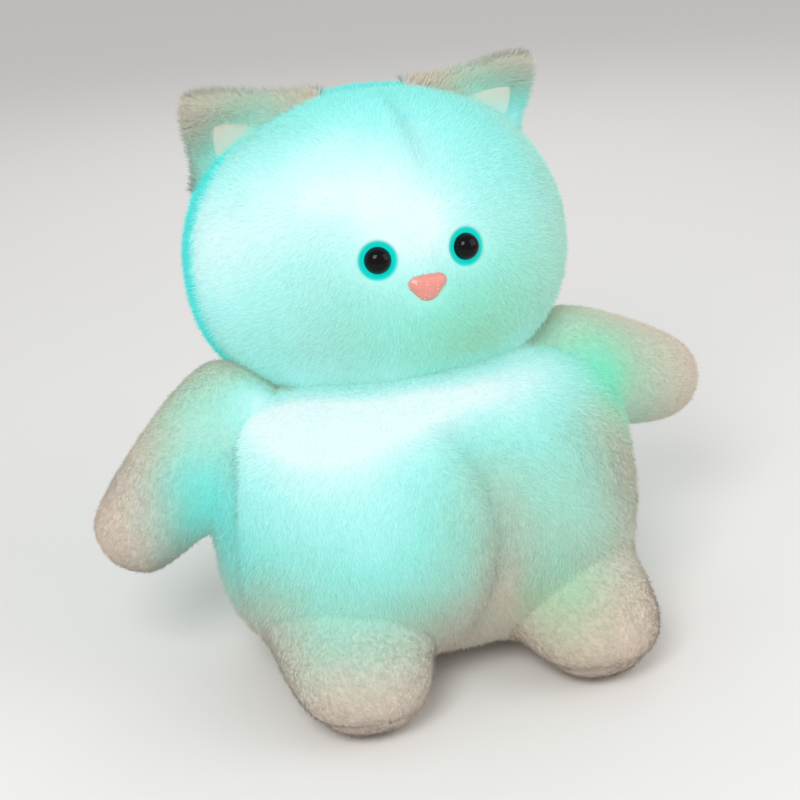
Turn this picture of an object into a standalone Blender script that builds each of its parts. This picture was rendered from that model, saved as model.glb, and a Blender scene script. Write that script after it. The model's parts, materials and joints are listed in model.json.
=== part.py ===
"""Plush cat night light: a stuffed toy that sits and is lit from inside.

Metres, +Z up. The toy sits on the plane z = 0 and faces -Y. The origin is on the
flat face under its body, in the middle of the width. Left and right are the toy's own,
so its left is at +X.
"""

from math import asin, atan2, cos, hypot, pi, radians, sin, sqrt, tau

import bmesh
import bpy
from mathutils import Matrix, Vector

# Clearances, walls and counts
GAP = 0.0003
SEAM = 0.0004
MERGE_DISTANCE = 0.00001
OVERRUN = 0.004
PLUSH = 0.003
FACET_ALLOWANCE = 0.0018
FILLING_EASE = 0.0012
LIMB_FILLING_EASE = 0.0017
ROUND_SIDES = 16
BODY_CAGE = (12, 8)
LIMB_CAGE = (8, 6)
EAR_CAGE = (8, 5)
NOSE_CAGE = (9, 4)
FILLING_CAGE = (10, 6)
LIMB_FILLING_CAGE = (6, 5)
SOCKET_CAGE = (20, 12)

# Body
BODY_HALF_WIDTH = 0.103
BODY_HALF_DEPTH = 0.076
BODY_HALF_HEIGHT = 0.069
BODY_LEAN = radians(5)
REST_CUT = 0.002
SEAT_POWER = 4
FLANK_POWER = 2.8
CHEST_POWER = 3.5
SIDE_SEAM_SHARE = -0.2
BASE_RADIUS = 0.034
BASE_SET_BACK = 0.008

# Head
HEAD_HALF_WIDTH = 0.093
HEAD_HALF_DEPTH = 0.073
HEAD_HALF_HEIGHT = 0.074
HEAD_LEAN = radians(12)
NECK_WIDTH = 0.0928
NECK_LEAN = radians(24.3)
HEAD_SEAM_SHARE = -0.18
CHEEK_POWER = 2.4

# Ears
EAR_HALF_WIDTH = 0.035
EAR_HALF_THICKNESS = 0.011
EAR_HEIGHT = 0.034
EAR_ROOT_DEPTH = 0.014
EAR_SPREAD = radians(40)
EAR_SET_BACK_SHARE = 0.0
EAR_LEAN = radians(24)
EAR_TURN = radians(22)
EAR_TAPER = 0.70
LINING_SIZE_SHARE = 0.56
LINING_DEPTH = 0.004
LINING_THICKNESS = 0.002

# Arms
SHOULDER_HEIGHT_SHARE = 0.682
SHOULDER_DEPTH_SHARE = 0.302
SHOULDER_STAND_OUT = 0.002
SHOULDER_GAP = 0.0015
ARM_LENGTH = 0.055
ARM_ROOT_RADIUS = 0.0325
HAND_RADIUS = 0.0245
ARM_BLEND_SHARE = 0.7
ARM_DROP = {"left": radians(22), "right": radians(39)}
ARM_SWEEP = {"left": radians(-14), "right": radians(11)}

# Legs
HIP_SPREAD_SHARE = 0.495
HIP_SET_FORWARD = 0.022
HIP_HEIGHT = 0.036
LEG_LENGTH = 0.040
LEG_SPLAY = radians(5)
LEG_DROP = radians(17)
LEG_ROOT_HALF_WIDTH = 0.041
LEG_ROOT_HALF_HEIGHT = 0.032
FOOT_HALF_WIDTH = 0.034
FOOT_HALF_HEIGHT = 0.026
LEG_BLEND_SHARE = 0.7
SOLE_FRONT_HEIGHT = 0.012
SOLE_BACK_HEIGHT = 0.003

# Tail
TAIL_LENGTH = 0.030
TAIL_ROOT_RADIUS = 0.013
TAIL_TIP_RADIUS = 0.011
TAIL_CLEARANCE = 0.001

# Eyes and nose
EYE_DIAMETER = 0.012
EYE_DOME_HEIGHT = 0.0052
EYE_HALF_SPACING = 0.0208
EYE_DROP = 0.0030
EYE_SINK = 0.0026
DIMPLE_WIDTH = 0.0175
DIMPLE_DEPTH = 0.0026
STEM_RADIUS = 0.0016
STEM_LENGTH = 0.0095
WASHER_RADIUS = 0.0065
WASHER_THICKNESS = 0.0014
NOSE_HALF_WIDTH = 0.0088
NOSE_HALF_HEIGHT = 0.0063
NOSE_HEIGHT = 0.0040
NOSE_BASE = 0.0012
NOSE_CORNER_SHARE = 0.13
NOSE_DROP = 0.0172

# Back zip
ZIP_TOP_SHARE = 0.50
ZIP_BOTTOM_SHARE = -0.30
SLOT_HALF_WIDTH = 0.0046
TAPE_HALF_WIDTH = 0.0110
TAPE_THICKNESS = 0.0008
TAPE_DEPTH = 0.0027
TEETH_PITCH = 0.0028
TOOTH_LENGTH = 0.0012
TOOTH_THICKNESS = 0.0020
TOOTH_REACH = 0.0008
TOOTH_ROOT = 0.0020
ZIP_STEP = radians(3.2)
SLIDER_LENGTH = 0.0090
SLIDER_HALF_WIDTH = 0.0038
SLIDER_PLATE = 0.0011
SLIDER_RAIL = 0.0009
BAIL_HEIGHT = 0.0030
BAIL_WIDTH = 0.0016
PULL_LENGTH = 0.016
PULL_WIDTH = 0.0052
PULL_THICKNESS = 0.0011
PULL_PIN_RADIUS = 0.0005
PULL_TILT = radians(9)

# Light module
CELL_RADIUS = 0.00525
CELL_LENGTH = 0.0435
CELL_NUB_RADIUS = 0.0019
CELL_NUB_HEIGHT = 0.0010
CELL_COUNT = 3
CELL_CLEARANCE = 0.0004
CASE_WALL = 0.0016
LID_THICKNESS = 0.0016
BOARD_BAY = 0.0160
BOARD_THICKNESS = 0.0012
BOARD_STAND_OFF = 0.0050
SPRING_FREE_LENGTH = 0.0050
SPRING_RADIUS = 0.0030
SPRING_WIRE_RADIUS = 0.00035
SPRING_TURNS = 3
CONTACT_THICKNESS = 0.0004
CONTACT_HALF_WIDTH = 0.0036
CASE_TO_ZIP = 0.0090
CASE_DROP = 0.0110
POUCH_CLOTH = 0.0008
SWITCH_SIZE = 0.0060
SWITCH_HEIGHT = 0.0030
BUTTON_RADIUS = 0.0032
BUTTON_FLANGE = 0.0008
BUTTON_FLANGE_HEIGHT = 0.0008
BUTTON_STAND_OUT = 0.0018
BUTTON_TRAVEL = 0.0010
SCREW_HEAD_RADIUS = 0.0022
SCREW_HEAD_HEIGHT = 0.0014
SCREW_SHANK_RADIUS = 0.0010
SCREW_SHANK_LENGTH = 0.0080
SCREW_SLOT_WIDTH = 0.0006
SCREW_SLOT_DEPTH = 0.0007

# Lamps and their leads
LAMP_RADIUS = 0.0120
LAMP_BOARD_THICKNESS = 0.0016
LAMP_DOME_HEIGHT = 0.0090
LAMP_DOME_WALL = 0.0012
CHIP_SIZE = 0.0050
CHIP_HEIGHT = 0.0016
LEAD_RADIUS = 0.0013
HEAD_LAMP_SHARES = (-0.12, -0.10, 0.10)
BODY_LAMP_SHARES = (-0.10, -0.16, 0.30)

# Colours: linear red, green, blue
WHITE_PLUSH = (0.78, 0.80, 0.76)
PANEL_PLUSH = (0.62, 0.78, 0.72)
PAW_PLUSH = (0.74, 0.66, 0.58)
LINING_PINK = (0.78, 0.56, 0.48)
STUFFING = (0.86, 0.86, 0.84)
EYE_BLACK = (0.004, 0.004, 0.005)
NOSE_PINK = (0.85, 0.36, 0.30)
WASHER_WHITE = (0.70, 0.70, 0.68)
TAPE_WHITE = (0.70, 0.74, 0.72)
ZIP_METAL = (0.62, 0.64, 0.66)
CASE_WHITE = (0.72, 0.73, 0.72)
CELL_GREEN = (0.10, 0.32, 0.16)
CONTACT_METAL = (0.66, 0.66, 0.64)
BOARD_GREEN = (0.03, 0.22, 0.09)
SWITCH_BLACK = (0.02, 0.02, 0.02)
BUTTON_RED = (0.60, 0.08, 0.06)
DIFFUSER_MINT = (0.60, 0.95, 0.86)
LEAD_WHITE = (0.75, 0.75, 0.73)

SIDES = {"left": 1, "right": -1}
UP = Vector((0, 0, 1))
BACKWARDS = Vector((0, 1, 0))


def new_collection(name):
    """Return a new collection linked to the scene."""
    collection = bpy.data.collections.new(name)
    bpy.context.scene.collection.children.link(collection)
    return collection


def new_material(name, colour, roughness=0.9, metallic=0.0):
    """Return a Principled material of one colour."""
    material = bpy.data.materials.new(name)
    material.use_nodes = True
    shader = material.node_tree.nodes["Principled BSDF"]
    shader.inputs["Base Color"].default_value = (*colour, 1)
    shader.inputs["Roughness"].default_value = roughness
    shader.inputs["Metallic"].default_value = metallic
    material.diffuse_color = (*colour, 1)
    return material


class Toy:
    """The collections, materials and frames that every piece shares."""

    def __init__(self):
        self.pieces = new_collection("Plush cat night light")
        self.cutters = new_collection("Cutters")
        self.plush = new_material("White plush", WHITE_PLUSH)
        self.panel = new_material("Back plush", PANEL_PLUSH)
        self.paw = new_material("Paw plush", PAW_PLUSH)
        self.lining = new_material("Ear lining", LINING_PINK, roughness=0.5)
        self.stuffing = new_material("Stuffing", STUFFING)
        self.eye = new_material("Eye black", EYE_BLACK, roughness=0.06)
        self.nose = new_material("Nose pink", NOSE_PINK, roughness=0.25)
        self.washer = new_material("Washer", WASHER_WHITE, roughness=0.5)
        self.tape = new_material("Zip tape", TAPE_WHITE, roughness=0.8)
        self.zip_metal = new_material("Zip metal", ZIP_METAL, roughness=0.35, metallic=1)
        self.case = new_material("Case", CASE_WHITE, roughness=0.45)
        self.cell = new_material("Cell sleeve", CELL_GREEN, roughness=0.4)
        self.contact = new_material("Contact", CONTACT_METAL, roughness=0.3, metallic=1)
        self.board = new_material("Circuit board", BOARD_GREEN, roughness=0.5)
        self.switch = new_material("Switch", SWITCH_BLACK, roughness=0.5)
        self.button = new_material("Button", BUTTON_RED, roughness=0.4)
        self.diffuser = new_material("Diffuser", DIFFUSER_MINT, roughness=0.3)
        self.lead = new_material("Lead", LEAD_WHITE, roughness=0.5)


def tilt(angle):
    """Turn about X that leans the top of a form backwards."""
    return Matrix.Rotation(-angle, 4, "X")


def support(direction, half_sizes, lean):
    """Distance from an ellipsoid's centre to its tangent plane across a direction."""
    local = tilt(lean).inverted() @ direction
    return sqrt(sum((value * half) ** 2 for value, half in zip(local, half_sizes)))


BODY_HALF = (BODY_HALF_WIDTH, BODY_HALF_DEPTH, BODY_HALF_HEIGHT)
HEAD_HALF = (HEAD_HALF_WIDTH, HEAD_HALF_DEPTH, HEAD_HALF_HEIGHT)
SPAN = 4 * (BODY_HALF_WIDTH + HEAD_HALF_WIDTH)

BODY_CENTRE = UP * (support(UP, BODY_HALF, BODY_LEAN) - REST_CUT)
BODY_FRAME = Matrix.Translation(BODY_CENTRE) @ tilt(BODY_LEAN)
NECK_AXIS = (tilt(NECK_LEAN) @ UP).normalized()


def distance_to_neck(half_sizes, lean):
    """Distance from a form's centre to the plane where it is as wide as the neck."""
    share = NECK_WIDTH / 2 / half_sizes[0]
    return support(NECK_AXIS, half_sizes, lean) * sqrt(1 - share**2)


NECK_POINT = BODY_CENTRE + NECK_AXIS * distance_to_neck(BODY_HALF, BODY_LEAN)
HEAD_CENTRE = NECK_POINT + NECK_AXIS * distance_to_neck(HEAD_HALF, HEAD_LEAN)
HEAD_FRAME = Matrix.Translation(HEAD_CENTRE) @ tilt(HEAD_LEAN)


# Shapes: each maps a unit direction to a point of the form


def fuller(height, power):
    """Half-width, as a share, at a height of a form whose side is fuller than a circle's."""
    return max(0, 1 - abs(height) ** power) ** (1 / power)


def body_shape(direction, swell=1.0, grow=0.0):
    """Body: an ellipsoid with fuller sides, and a fuller lower back, where the toy sits on it."""
    x, y, z = direction
    ring = hypot(x, y)
    if ring > 0:
        x *= fuller(z, CHEST_POWER if z > 0 else FLANK_POWER) / ring
    if y > 0 > z and ring > 0:
        y *= fuller(z, SEAT_POWER) / ring
    half_width, half_depth, half_height = (half + grow for half in BODY_HALF)
    return Vector((x * half_width, y * half_depth, z * half_height)) * swell


def head_shape(direction, swell=1.0, grow=0.0):
    """Head: an ellipsoid, wider than it is tall, with fuller cheeks and chin."""
    x, y, z = direction
    ring = hypot(x, y)
    if z < 0 < ring:
        cheek = fuller(z, CHEEK_POWER) / ring
        x, y = x * cheek, y * cheek
    half_width, half_depth, half_height = (half + grow for half in HEAD_HALF)
    return Vector((x * half_width, y * half_depth, z * half_height)) * swell


def blend(value, reach):
    """Rise from 0 to 1 as the value goes from -reach to reach."""
    share = min(1, max(0, (value + reach) / (2 * reach)))
    return share * share * (3 - 2 * share)


def arm_shape(direction, swell=1.0, grow=0.0):
    """Arm along +Z: a ball at the shoulder that runs into the rounded hand."""
    x, y, z = direction
    share = blend(z, ARM_BLEND_SHARE)
    radius = ARM_ROOT_RADIUS + (HAND_RADIUS - ARM_ROOT_RADIUS) * share + grow
    return Vector((x, y, z)) * radius * swell + UP * ARM_LENGTH * share


def leg_shape(direction, swell=1.0, grow=0.0):
    """Leg along +Z, with +Y upwards: a short flattened cone with a round foot."""
    x, y, z = direction
    share = blend(z, LEG_BLEND_SHARE)
    width = LEG_ROOT_HALF_WIDTH + (FOOT_HALF_WIDTH - LEG_ROOT_HALF_WIDTH) * share + grow
    height = LEG_ROOT_HALF_HEIGHT + (FOOT_HALF_HEIGHT - LEG_ROOT_HALF_HEIGHT) * share + grow
    offset = Vector((x * width, y * height, z * width)) * swell
    return offset + UP * LEG_LENGTH * share


def tail_shape(direction, swell=1.0, grow=0.0):
    """Tail along +Z: a short round stub."""
    share = blend(direction[2], LEG_BLEND_SHARE)
    radius = TAIL_ROOT_RADIUS + (TAIL_TIP_RADIUS - TAIL_ROOT_RADIUS) * share + grow
    return Vector(direction) * radius * swell + UP * TAIL_LENGTH * share


def ear_shape(direction, swell=1.0, size_share=1.0):
    """Ear along +Z: a flat cone with a rounded tip, wide across X."""
    x, y, z = direction
    ring = hypot(x, y)
    if ring == 0:
        x = y = 0
    else:
        width_share = ((1 - z) / 2) ** EAR_TAPER
        x *= width_share * EAR_HALF_WIDTH * size_share * swell / ring
        y *= sqrt(width_share) * EAR_HALF_THICKNESS * size_share * swell / ring
    height = (EAR_HEIGHT + EAR_ROOT_DEPTH) * size_share
    return Vector((x, y, (z + 1) / 2 * height))


def nose_shape(direction, swell=1.0, grow=0.0):
    """Nose with its face to +Z: a flat dome with three round corners, one down."""
    x, y, z = direction
    angle = atan2(y, x)
    corner = 1 + NOSE_CORNER_SHARE * cos(3 * (angle + pi / 2))
    height = NOSE_HEIGHT if z > 0 else NOSE_BASE
    offset = Vector((x * corner * (NOSE_HALF_WIDTH + grow), y * corner * (NOSE_HALF_HEIGHT + grow), 0))
    return (offset + UP * z * (height + grow)) * swell


# Making and trimming meshes


def smooth_form(shape, cage):
    """Closed smooth mesh through a shape, from a coarse cage that Subsurf rounds."""
    segments, rings = cage
    drawn_in = (3 + cos(tau / segments)) / 4 * (3 + cos(pi / rings)) / 4
    form = bmesh.new()
    bmesh.ops.create_uvsphere(form, u_segments=segments, v_segments=rings, radius=1)
    for vertex in form.verts:
        vertex.co = shape(vertex.co.normalized(), 1 / drawn_in)
    holder = bpy.data.objects.new("cage", bpy.data.meshes.new("cage"))
    form.to_mesh(holder.data)
    form.free()
    bpy.context.scene.collection.objects.link(holder)
    smooth = holder.modifiers.new("Smooth", "SUBSURF")
    smooth.levels = 1
    smooth.render_levels = 1
    return finished_mesh(holder)


def finished_mesh(holder):
    """Return an object's mesh with its modifiers applied, and remove the object."""
    graph = bpy.context.evaluated_depsgraph_get()
    mesh = bpy.data.meshes.new_from_object(holder.evaluated_get(graph))
    bpy.data.objects.remove(holder)
    return mesh


def trim(mesh, frame, point, normal, capped=False):
    """Cut away a mesh beyond a plane given in world space, and close it if asked."""
    local_point = frame.inverted() @ point
    local_normal = frame.to_3x3().inverted() @ normal
    form = bmesh.new()
    form.from_mesh(mesh)
    everything = form.verts[:] + form.edges[:] + form.faces[:]
    cut = bmesh.ops.bisect_plane(form, geom=everything, plane_co=local_point,
                                 plane_no=local_normal, clear_outer=True)
    if capped:
        rim = [item for item in cut["geom_cut"] if isinstance(item, bmesh.types.BMEdge)]
        cap = bmesh.ops.contextual_create(form, geom=rim)["faces"]
        bmesh.ops.triangulate(form, faces=cap)
        bmesh.ops.recalc_face_normals(form, faces=form.faces)
    form.to_mesh(mesh)
    form.free()
    return mesh


def add(name, mesh, material, collection, frame=None):
    """Link a mesh as a named object at a frame, shaded smooth but for sharp edges."""
    mesh.name = name
    mesh.materials.clear()
    if material:
        mesh.materials.append(material)
    mesh.shade_smooth()
    mesh.set_sharp_from_angle(angle=radians(40))
    piece = bpy.data.objects.new(name, mesh)
    collection.objects.link(piece)
    if frame:
        piece.matrix_world = frame
    return piece


def hide(cutter):
    """Show a cutter as wires only."""
    cutter.hide_render = True
    cutter.display_type = "WIRE"
    return cutter


def combine(piece, cutter, operation="DIFFERENCE"):
    """Add a Boolean modifier with a cutter."""
    modifier = piece.modifiers.new(cutter.name, "BOOLEAN")
    modifier.object = cutter
    modifier.operation = operation
    modifier.solver = "EXACT"
    return piece


def thicken(piece, thickness):
    """Give an open surface its thickness, inwards."""
    modifier = piece.modifiers.new("Thickness", "SOLIDIFY")
    modifier.thickness = thickness
    modifier.offset = -1
    return piece


def box_mesh(low, high):
    """Box between two corners."""
    form = bmesh.new()
    bmesh.ops.create_cube(form, size=1)
    low, high = Vector(low), Vector(high)
    middle, size = (low + high) / 2, high - low
    for vertex in form.verts:
        vertex.co = Vector((a * b for a, b in zip(vertex.co, size))) + middle
    mesh = bpy.data.meshes.new("box")
    form.to_mesh(mesh)
    form.free()
    return mesh


def round_mesh(radius, low, high, top_radius=None, sides=ROUND_SIDES):
    """Cylinder or cone along Z between two heights."""
    form = bmesh.new()
    bmesh.ops.create_cone(form, cap_ends=True, segments=sides, radius1=radius,
                          radius2=radius if top_radius is None else top_radius, depth=high - low)
    bmesh.ops.translate(form, vec=UP * (low + high) / 2, verts=form.verts)
    mesh = bpy.data.meshes.new("round")
    form.to_mesh(mesh)
    form.free()
    return mesh


def ball_mesh(radius):
    """Sphere about the origin."""
    segments, rings = SOCKET_CAGE
    form = bmesh.new()
    bmesh.ops.create_uvsphere(form, u_segments=segments, v_segments=rings, radius=radius)
    mesh = bpy.data.meshes.new("ball")
    form.to_mesh(mesh)
    form.free()
    return mesh


def turned_mesh(profile, sides=ROUND_SIDES):
    """Solid turned about Z from points (radius, height), outer side first, top to bottom."""
    form = bmesh.new()
    points = [form.verts.new((radius, 0, height)) for radius, height in profile]
    for first, second in zip(points, points[1:]):
        form.edges.new((first, second))
    holder = bpy.data.objects.new("profile", bpy.data.meshes.new("profile"))
    form.to_mesh(holder.data)
    form.free()
    bpy.context.scene.collection.objects.link(holder)
    turn = holder.modifiers.new("Turn", "SCREW")
    turn.steps = sides
    turn.render_steps = sides
    turn.use_merge_vertices = True
    turn.merge_threshold = MERGE_DISTANCE
    return finished_mesh(holder)


def tube_mesh(points, radius, resolution=2):
    """Round tube through points, with closed ends."""
    curve = bpy.data.curves.new("tube", "CURVE")
    curve.dimensions = "3D"
    curve.bevel_depth = radius
    curve.bevel_resolution = resolution
    curve.use_fill_caps = True
    spline = curve.splines.new("POLY")
    spline.points.add(len(points) - 1)
    for slot, point in zip(spline.points, points):
        slot.co = (*point, 1)
    holder = bpy.data.objects.new("tube", curve)
    bpy.context.scene.collection.objects.link(holder)
    mesh = finished_mesh(holder)
    form = bmesh.new()
    form.from_mesh(mesh)
    bmesh.ops.remove_doubles(form, verts=form.verts, dist=MERGE_DISTANCE)
    bmesh.ops.recalc_face_normals(form, faces=form.faces)
    form.to_mesh(mesh)
    form.free()
    return mesh


def beyond(toy, name, point, normal):
    """Cutter that fills the side of a plane that its normal points to."""
    half = SPAN / 2
    frame = Matrix.Translation(point) @ normal.to_track_quat("Z", "Y").to_matrix().to_4x4()
    return hide(add(name, box_mesh((-half, -half, 0), (half, half, SPAN)), None, toy.cutters, frame))


# Body and head


def build_body(toy):
    """Four body panels round a flat base panel, and the filling inside them."""
    neck = {"point": NECK_POINT - NECK_AXIS * GAP / 2, "normal": NECK_AXIS}
    front = BODY_FRAME @ Vector((0, SIDE_SEAM_SHARE * BODY_HALF_DEPTH, 0))
    back_side = beyond(toy, "side seam, back", front + BACKWARDS * SEAM / 2, BACKWARDS)
    front_side = beyond(toy, "side seam, front", front - BACKWARDS * SEAM / 2, -BACKWARDS)
    sockets = dict(zip(SIDES, toy.sockets))
    base_frame = Matrix.Translation(BACKWARDS * BASE_SET_BACK)
    base_mesh = round_mesh(BASE_RADIUS, -OVERRUN, BODY_HALF_HEIGHT / 2, sides=2 * ROUND_SIDES)
    base_region = hide(add("base region", base_mesh, None, toy.cutters, base_frame))
    hole_mesh = round_mesh(BASE_RADIUS + SEAM, -OVERRUN, BODY_HALF_HEIGHT / 2, sides=2 * ROUND_SIDES)
    base_hole = hide(add("base hole", hole_mesh, None, toy.cutters, base_frame))
    mesh = trim(smooth_form(body_shape, BODY_CAGE), BODY_FRAME, Vector(), -UP, capped=True)
    base = add("body_base", mesh, toy.panel, toy.pieces, BODY_FRAME)
    thicken(base, PLUSH)
    combine(base, base_region, "INTERSECT")
    for side, sign in SIDES.items():
        across = Vector((sign, 0, 0))
        half = beyond(toy, f"{side} half", across * SEAM / 2, across)
        for place, region in (("front", front_side), ("back", back_side)):
            mesh = smooth_form(body_shape, BODY_CAGE)
            trim(mesh, BODY_FRAME, Vector(), -UP, capped=True)
            trim(mesh, BODY_FRAME, neck["point"], neck["normal"])
            material = toy.plush if place == "front" else toy.panel
            panel = add(f"body_{place}_{side}", mesh, material, toy.pieces, BODY_FRAME)
            thicken(panel, PLUSH)
            combine(panel, base_hole)
            combine(panel, sockets[side])
            if place == "back":
                combine(panel, toy.zip_slot)
                combine(panel, toy.zip_rebate)
            combine(panel, region, "INTERSECT")
            combine(panel, half, "INTERSECT")
    inner = -(PLUSH + FILLING_EASE)
    mesh = smooth_form(lambda direction, swell: body_shape(direction, swell, inner), FILLING_CAGE)
    trim(mesh, BODY_FRAME, UP * (PLUSH + GAP), -UP, capped=True)
    trim(mesh, BODY_FRAME, neck["point"], neck["normal"], capped=True)
    filling = add("body_filling", mesh, toy.stuffing, toy.pieces, BODY_FRAME)
    for space in [*toy.sockets, toy.zip_recess, toy.pouch_space, *toy.body_lamp_spaces]:
        combine(filling, space)


def build_socket(toy, side):
    """Ball-shaped hollow in the body's side, round the shoulder."""
    mesh = ball_mesh(ARM_ROOT_RADIUS + SHOULDER_GAP)
    return hide(add(f"{side} socket", mesh, None, toy.cutters, shoulder_frame(side)))


def build_head(toy):
    """Face and back panels of the head, with the filling, eyes and nose."""
    neck_point = NECK_POINT + NECK_AXIS * GAP / 2
    seam = HEAD_FRAME @ Vector((0, HEAD_SEAM_SHARE * HEAD_HALF_DEPTH, 0))
    backwards = (HEAD_FRAME.to_3x3() @ BACKWARDS).normalized()
    regions = {
        "head_face": beyond(toy, "head seam, front", seam - backwards * SEAM / 2, -backwards),
        "head_back": beyond(toy, "head seam, back", seam + backwards * SEAM / 2, backwards),
    }
    inner = -(PLUSH + FILLING_EASE)
    mesh = smooth_form(lambda direction, swell: head_shape(direction, swell, inner), FILLING_CAGE)
    trim(mesh, HEAD_FRAME, neck_point, -NECK_AXIS, capped=True)
    filling = add("head_filling", mesh, toy.stuffing, toy.pieces, HEAD_FRAME)
    for space in toy.head_lamp_spaces + toy.sockets:
        combine(filling, space)
    panels = {}
    for name, region in regions.items():
        mesh = smooth_form(head_shape, BODY_CAGE)
        trim(mesh, HEAD_FRAME, neck_point, -NECK_AXIS)
        material = toy.plush if name == "head_face" else toy.panel
        panels[name] = add(name, mesh, material, toy.pieces, HEAD_FRAME)
        thicken(panels[name], PLUSH)
        combine(panels[name], region, "INTERSECT")
        for socket in toy.sockets:
            combine(panels[name], socket)
    build_features(toy, panels["head_face"], filling)


def face_frame(x, z):
    """Frame on the face at a width and height, with +Z out of the surface and +Y up."""
    depth_share = sqrt(1 - (x / HEAD_HALF_WIDTH) ** 2 - (z / HEAD_HALF_HEIGHT) ** 2)
    point = Vector((x, -HEAD_HALF_DEPTH * depth_share, z))
    normal = Vector(value / half**2 for value, half in zip(point, HEAD_HALF)).normalized()
    across = UP.cross(normal).normalized()
    upwards = normal.cross(across)
    turn = Matrix((across, upwards, normal)).transposed().to_4x4()
    return HEAD_FRAME @ Matrix.Translation(point) @ turn


def dome_profile(radius, height, base):
    """Half outline of a dome on a stem, from the crown down to the stem's end."""
    steps = 4
    crown = [(radius * sin(pi / 2 * n / steps), base + height * cos(pi / 2 * n / steps))
             for n in range(steps + 1)]
    end = base - STEM_LENGTH
    return crown + [(STEM_RADIUS, base), (STEM_RADIUS, end), (0, end)]


def dimple_profile():
    """Half outline of the bowl round an eye, from above the surface down to its bottom."""
    radius = (DIMPLE_WIDTH**2 / 4 + DIMPLE_DEPTH**2) / (2 * DIMPLE_DEPTH)
    widest = asin(DIMPLE_WIDTH / 2 / radius)
    steps = 3
    bowl = [(radius * sin(widest * n / steps), radius * (1 - cos(widest * n / steps)) - DIMPLE_DEPTH)
            for n in range(steps, -1, -1)]
    return [(0, OVERRUN), (DIMPLE_WIDTH / 2, OVERRUN), *bowl]


def build_features(toy, face, filling):
    """Two domed eyes in dimples and a nose, each on a stem with a washer behind."""
    eye_radius = EYE_DIAMETER / 2
    for side, sign in SIDES.items():
        frame = face_frame(sign * EYE_HALF_SPACING, -EYE_DROP)
        mesh = turned_mesh(dome_profile(eye_radius, EYE_DOME_HEIGHT, GAP - EYE_SINK))
        add(f"eye_{side}", mesh, toy.eye, toy.pieces, frame)
        dimple = add(f"{side} dimple", turned_mesh(dimple_profile()), None, toy.cutters, frame)
        seat = add(f"{side} eye seat", round_mesh(eye_radius + GAP, -EYE_SINK, OVERRUN), None,
                   toy.cutters, frame)
        combine(face, hide(dimple))
        combine(face, hide(seat))
        build_fixing(toy, face, filling, f"eye_washer_{side}", frame)
    frame = face_frame(0, -NOSE_DROP)
    nose = add("nose", smooth_form(nose_shape, NOSE_CAGE), toy.nose, toy.pieces, frame)
    stem = round_mesh(STEM_RADIUS, -STEM_LENGTH, 0)
    combine(nose, hide(add("nose stem", stem, None, toy.cutters, frame)), "UNION")
    seat_mesh = smooth_form(lambda direction, swell: nose_shape(direction, swell, 2 * GAP), NOSE_CAGE)
    combine(face, hide(add("nose seat", seat_mesh, None, toy.cutters, frame)))
    build_fixing(toy, face, filling, "nose_washer", frame)


def build_fixing(toy, face, filling, name, frame):
    """Washer behind the cloth, with the stem's hole in the face and room in the filling."""
    top = -(PLUSH + FACET_ALLOWANCE + GAP)
    mesh = round_mesh(WASHER_RADIUS, top - WASHER_THICKNESS, top)
    washer = add(name, mesh, toy.washer, toy.pieces, frame)
    hole = round_mesh(STEM_RADIUS + GAP, -STEM_LENGTH - OVERRUN, OVERRUN)
    hole = hide(add(f"{name} hole", hole, None, toy.cutters, frame))
    combine(washer, hole)
    combine(face, hole)
    room = round_mesh(WASHER_RADIUS + GAP, -(STEM_LENGTH + EYE_SINK), OVERRUN)
    combine(filling, hide(add(f"{name} room", room, None, toy.cutters, frame)))


# Ears


def ear_frame(side):
    """Frame at the ear's root, with +Z up the ear and -Y out of its front."""
    sign = SIDES[side]
    angle = sign * EAR_SPREAD
    direction = Vector((sin(angle), EAR_SET_BACK_SHARE, cos(angle))).normalized()
    root = head_shape(direction)
    frame = HEAD_FRAME @ Matrix.Translation(root)
    frame = frame @ Matrix.Rotation(angle, 4, "Y")
    frame = frame @ Matrix.Rotation(sign * EAR_TURN, 4, "Z")
    frame = frame @ Matrix.Rotation(EAR_LEAN, 4, "X")
    return frame @ Matrix.Translation(-UP * EAR_ROOT_DEPTH)


def build_ears(toy):
    """Two ears cut to the head, each with a lining patch in its hollow front."""
    grown = smooth_form(lambda direction, swell: head_shape(direction, swell, GAP), BODY_CAGE)
    head_space = hide(add("head space", grown, None, toy.cutters, HEAD_FRAME))
    for side in SIDES:
        frame = ear_frame(side)
        ear = add(f"ear_{side}", smooth_form(ear_shape, EAR_CAGE), toy.plush, toy.pieces, frame)
        combine(ear, head_space)
        front = Vector((0, -EAR_HALF_THICKNESS, EAR_ROOT_DEPTH / 2))
        hollow_frame = frame @ Matrix.Translation(front + BACKWARDS * LINING_DEPTH / 2)
        mesh = smooth_form(lambda direction, swell: ear_shape(direction, swell, LINING_SIZE_SHARE), EAR_CAGE)
        hollow = hide(add(f"{side} ear hollow", mesh, None, toy.cutters, hollow_frame))
        combine(ear, hollow)
        share = LINING_SIZE_SHARE - 2 * GAP / EAR_HALF_WIDTH
        mesh = smooth_form(lambda direction, swell: ear_shape(direction, swell, share), EAR_CAGE)
        lining_frame = hollow_frame @ Matrix.Translation(UP * GAP)
        lining = add(f"ear_lining_{side}", mesh, toy.lining, toy.pieces, lining_frame)
        combine(lining, head_space)
        mesh = smooth_form(lambda direction, swell: ear_shape(direction, swell, LINING_SIZE_SHARE), EAR_CAGE)
        front_frame = hollow_frame @ Matrix.Translation(-BACKWARDS * LINING_THICKNESS)
        combine(lining, hide(add(f"{side} lining front", mesh, None, toy.cutters, front_frame)))


# Arms, legs and tail


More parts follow.
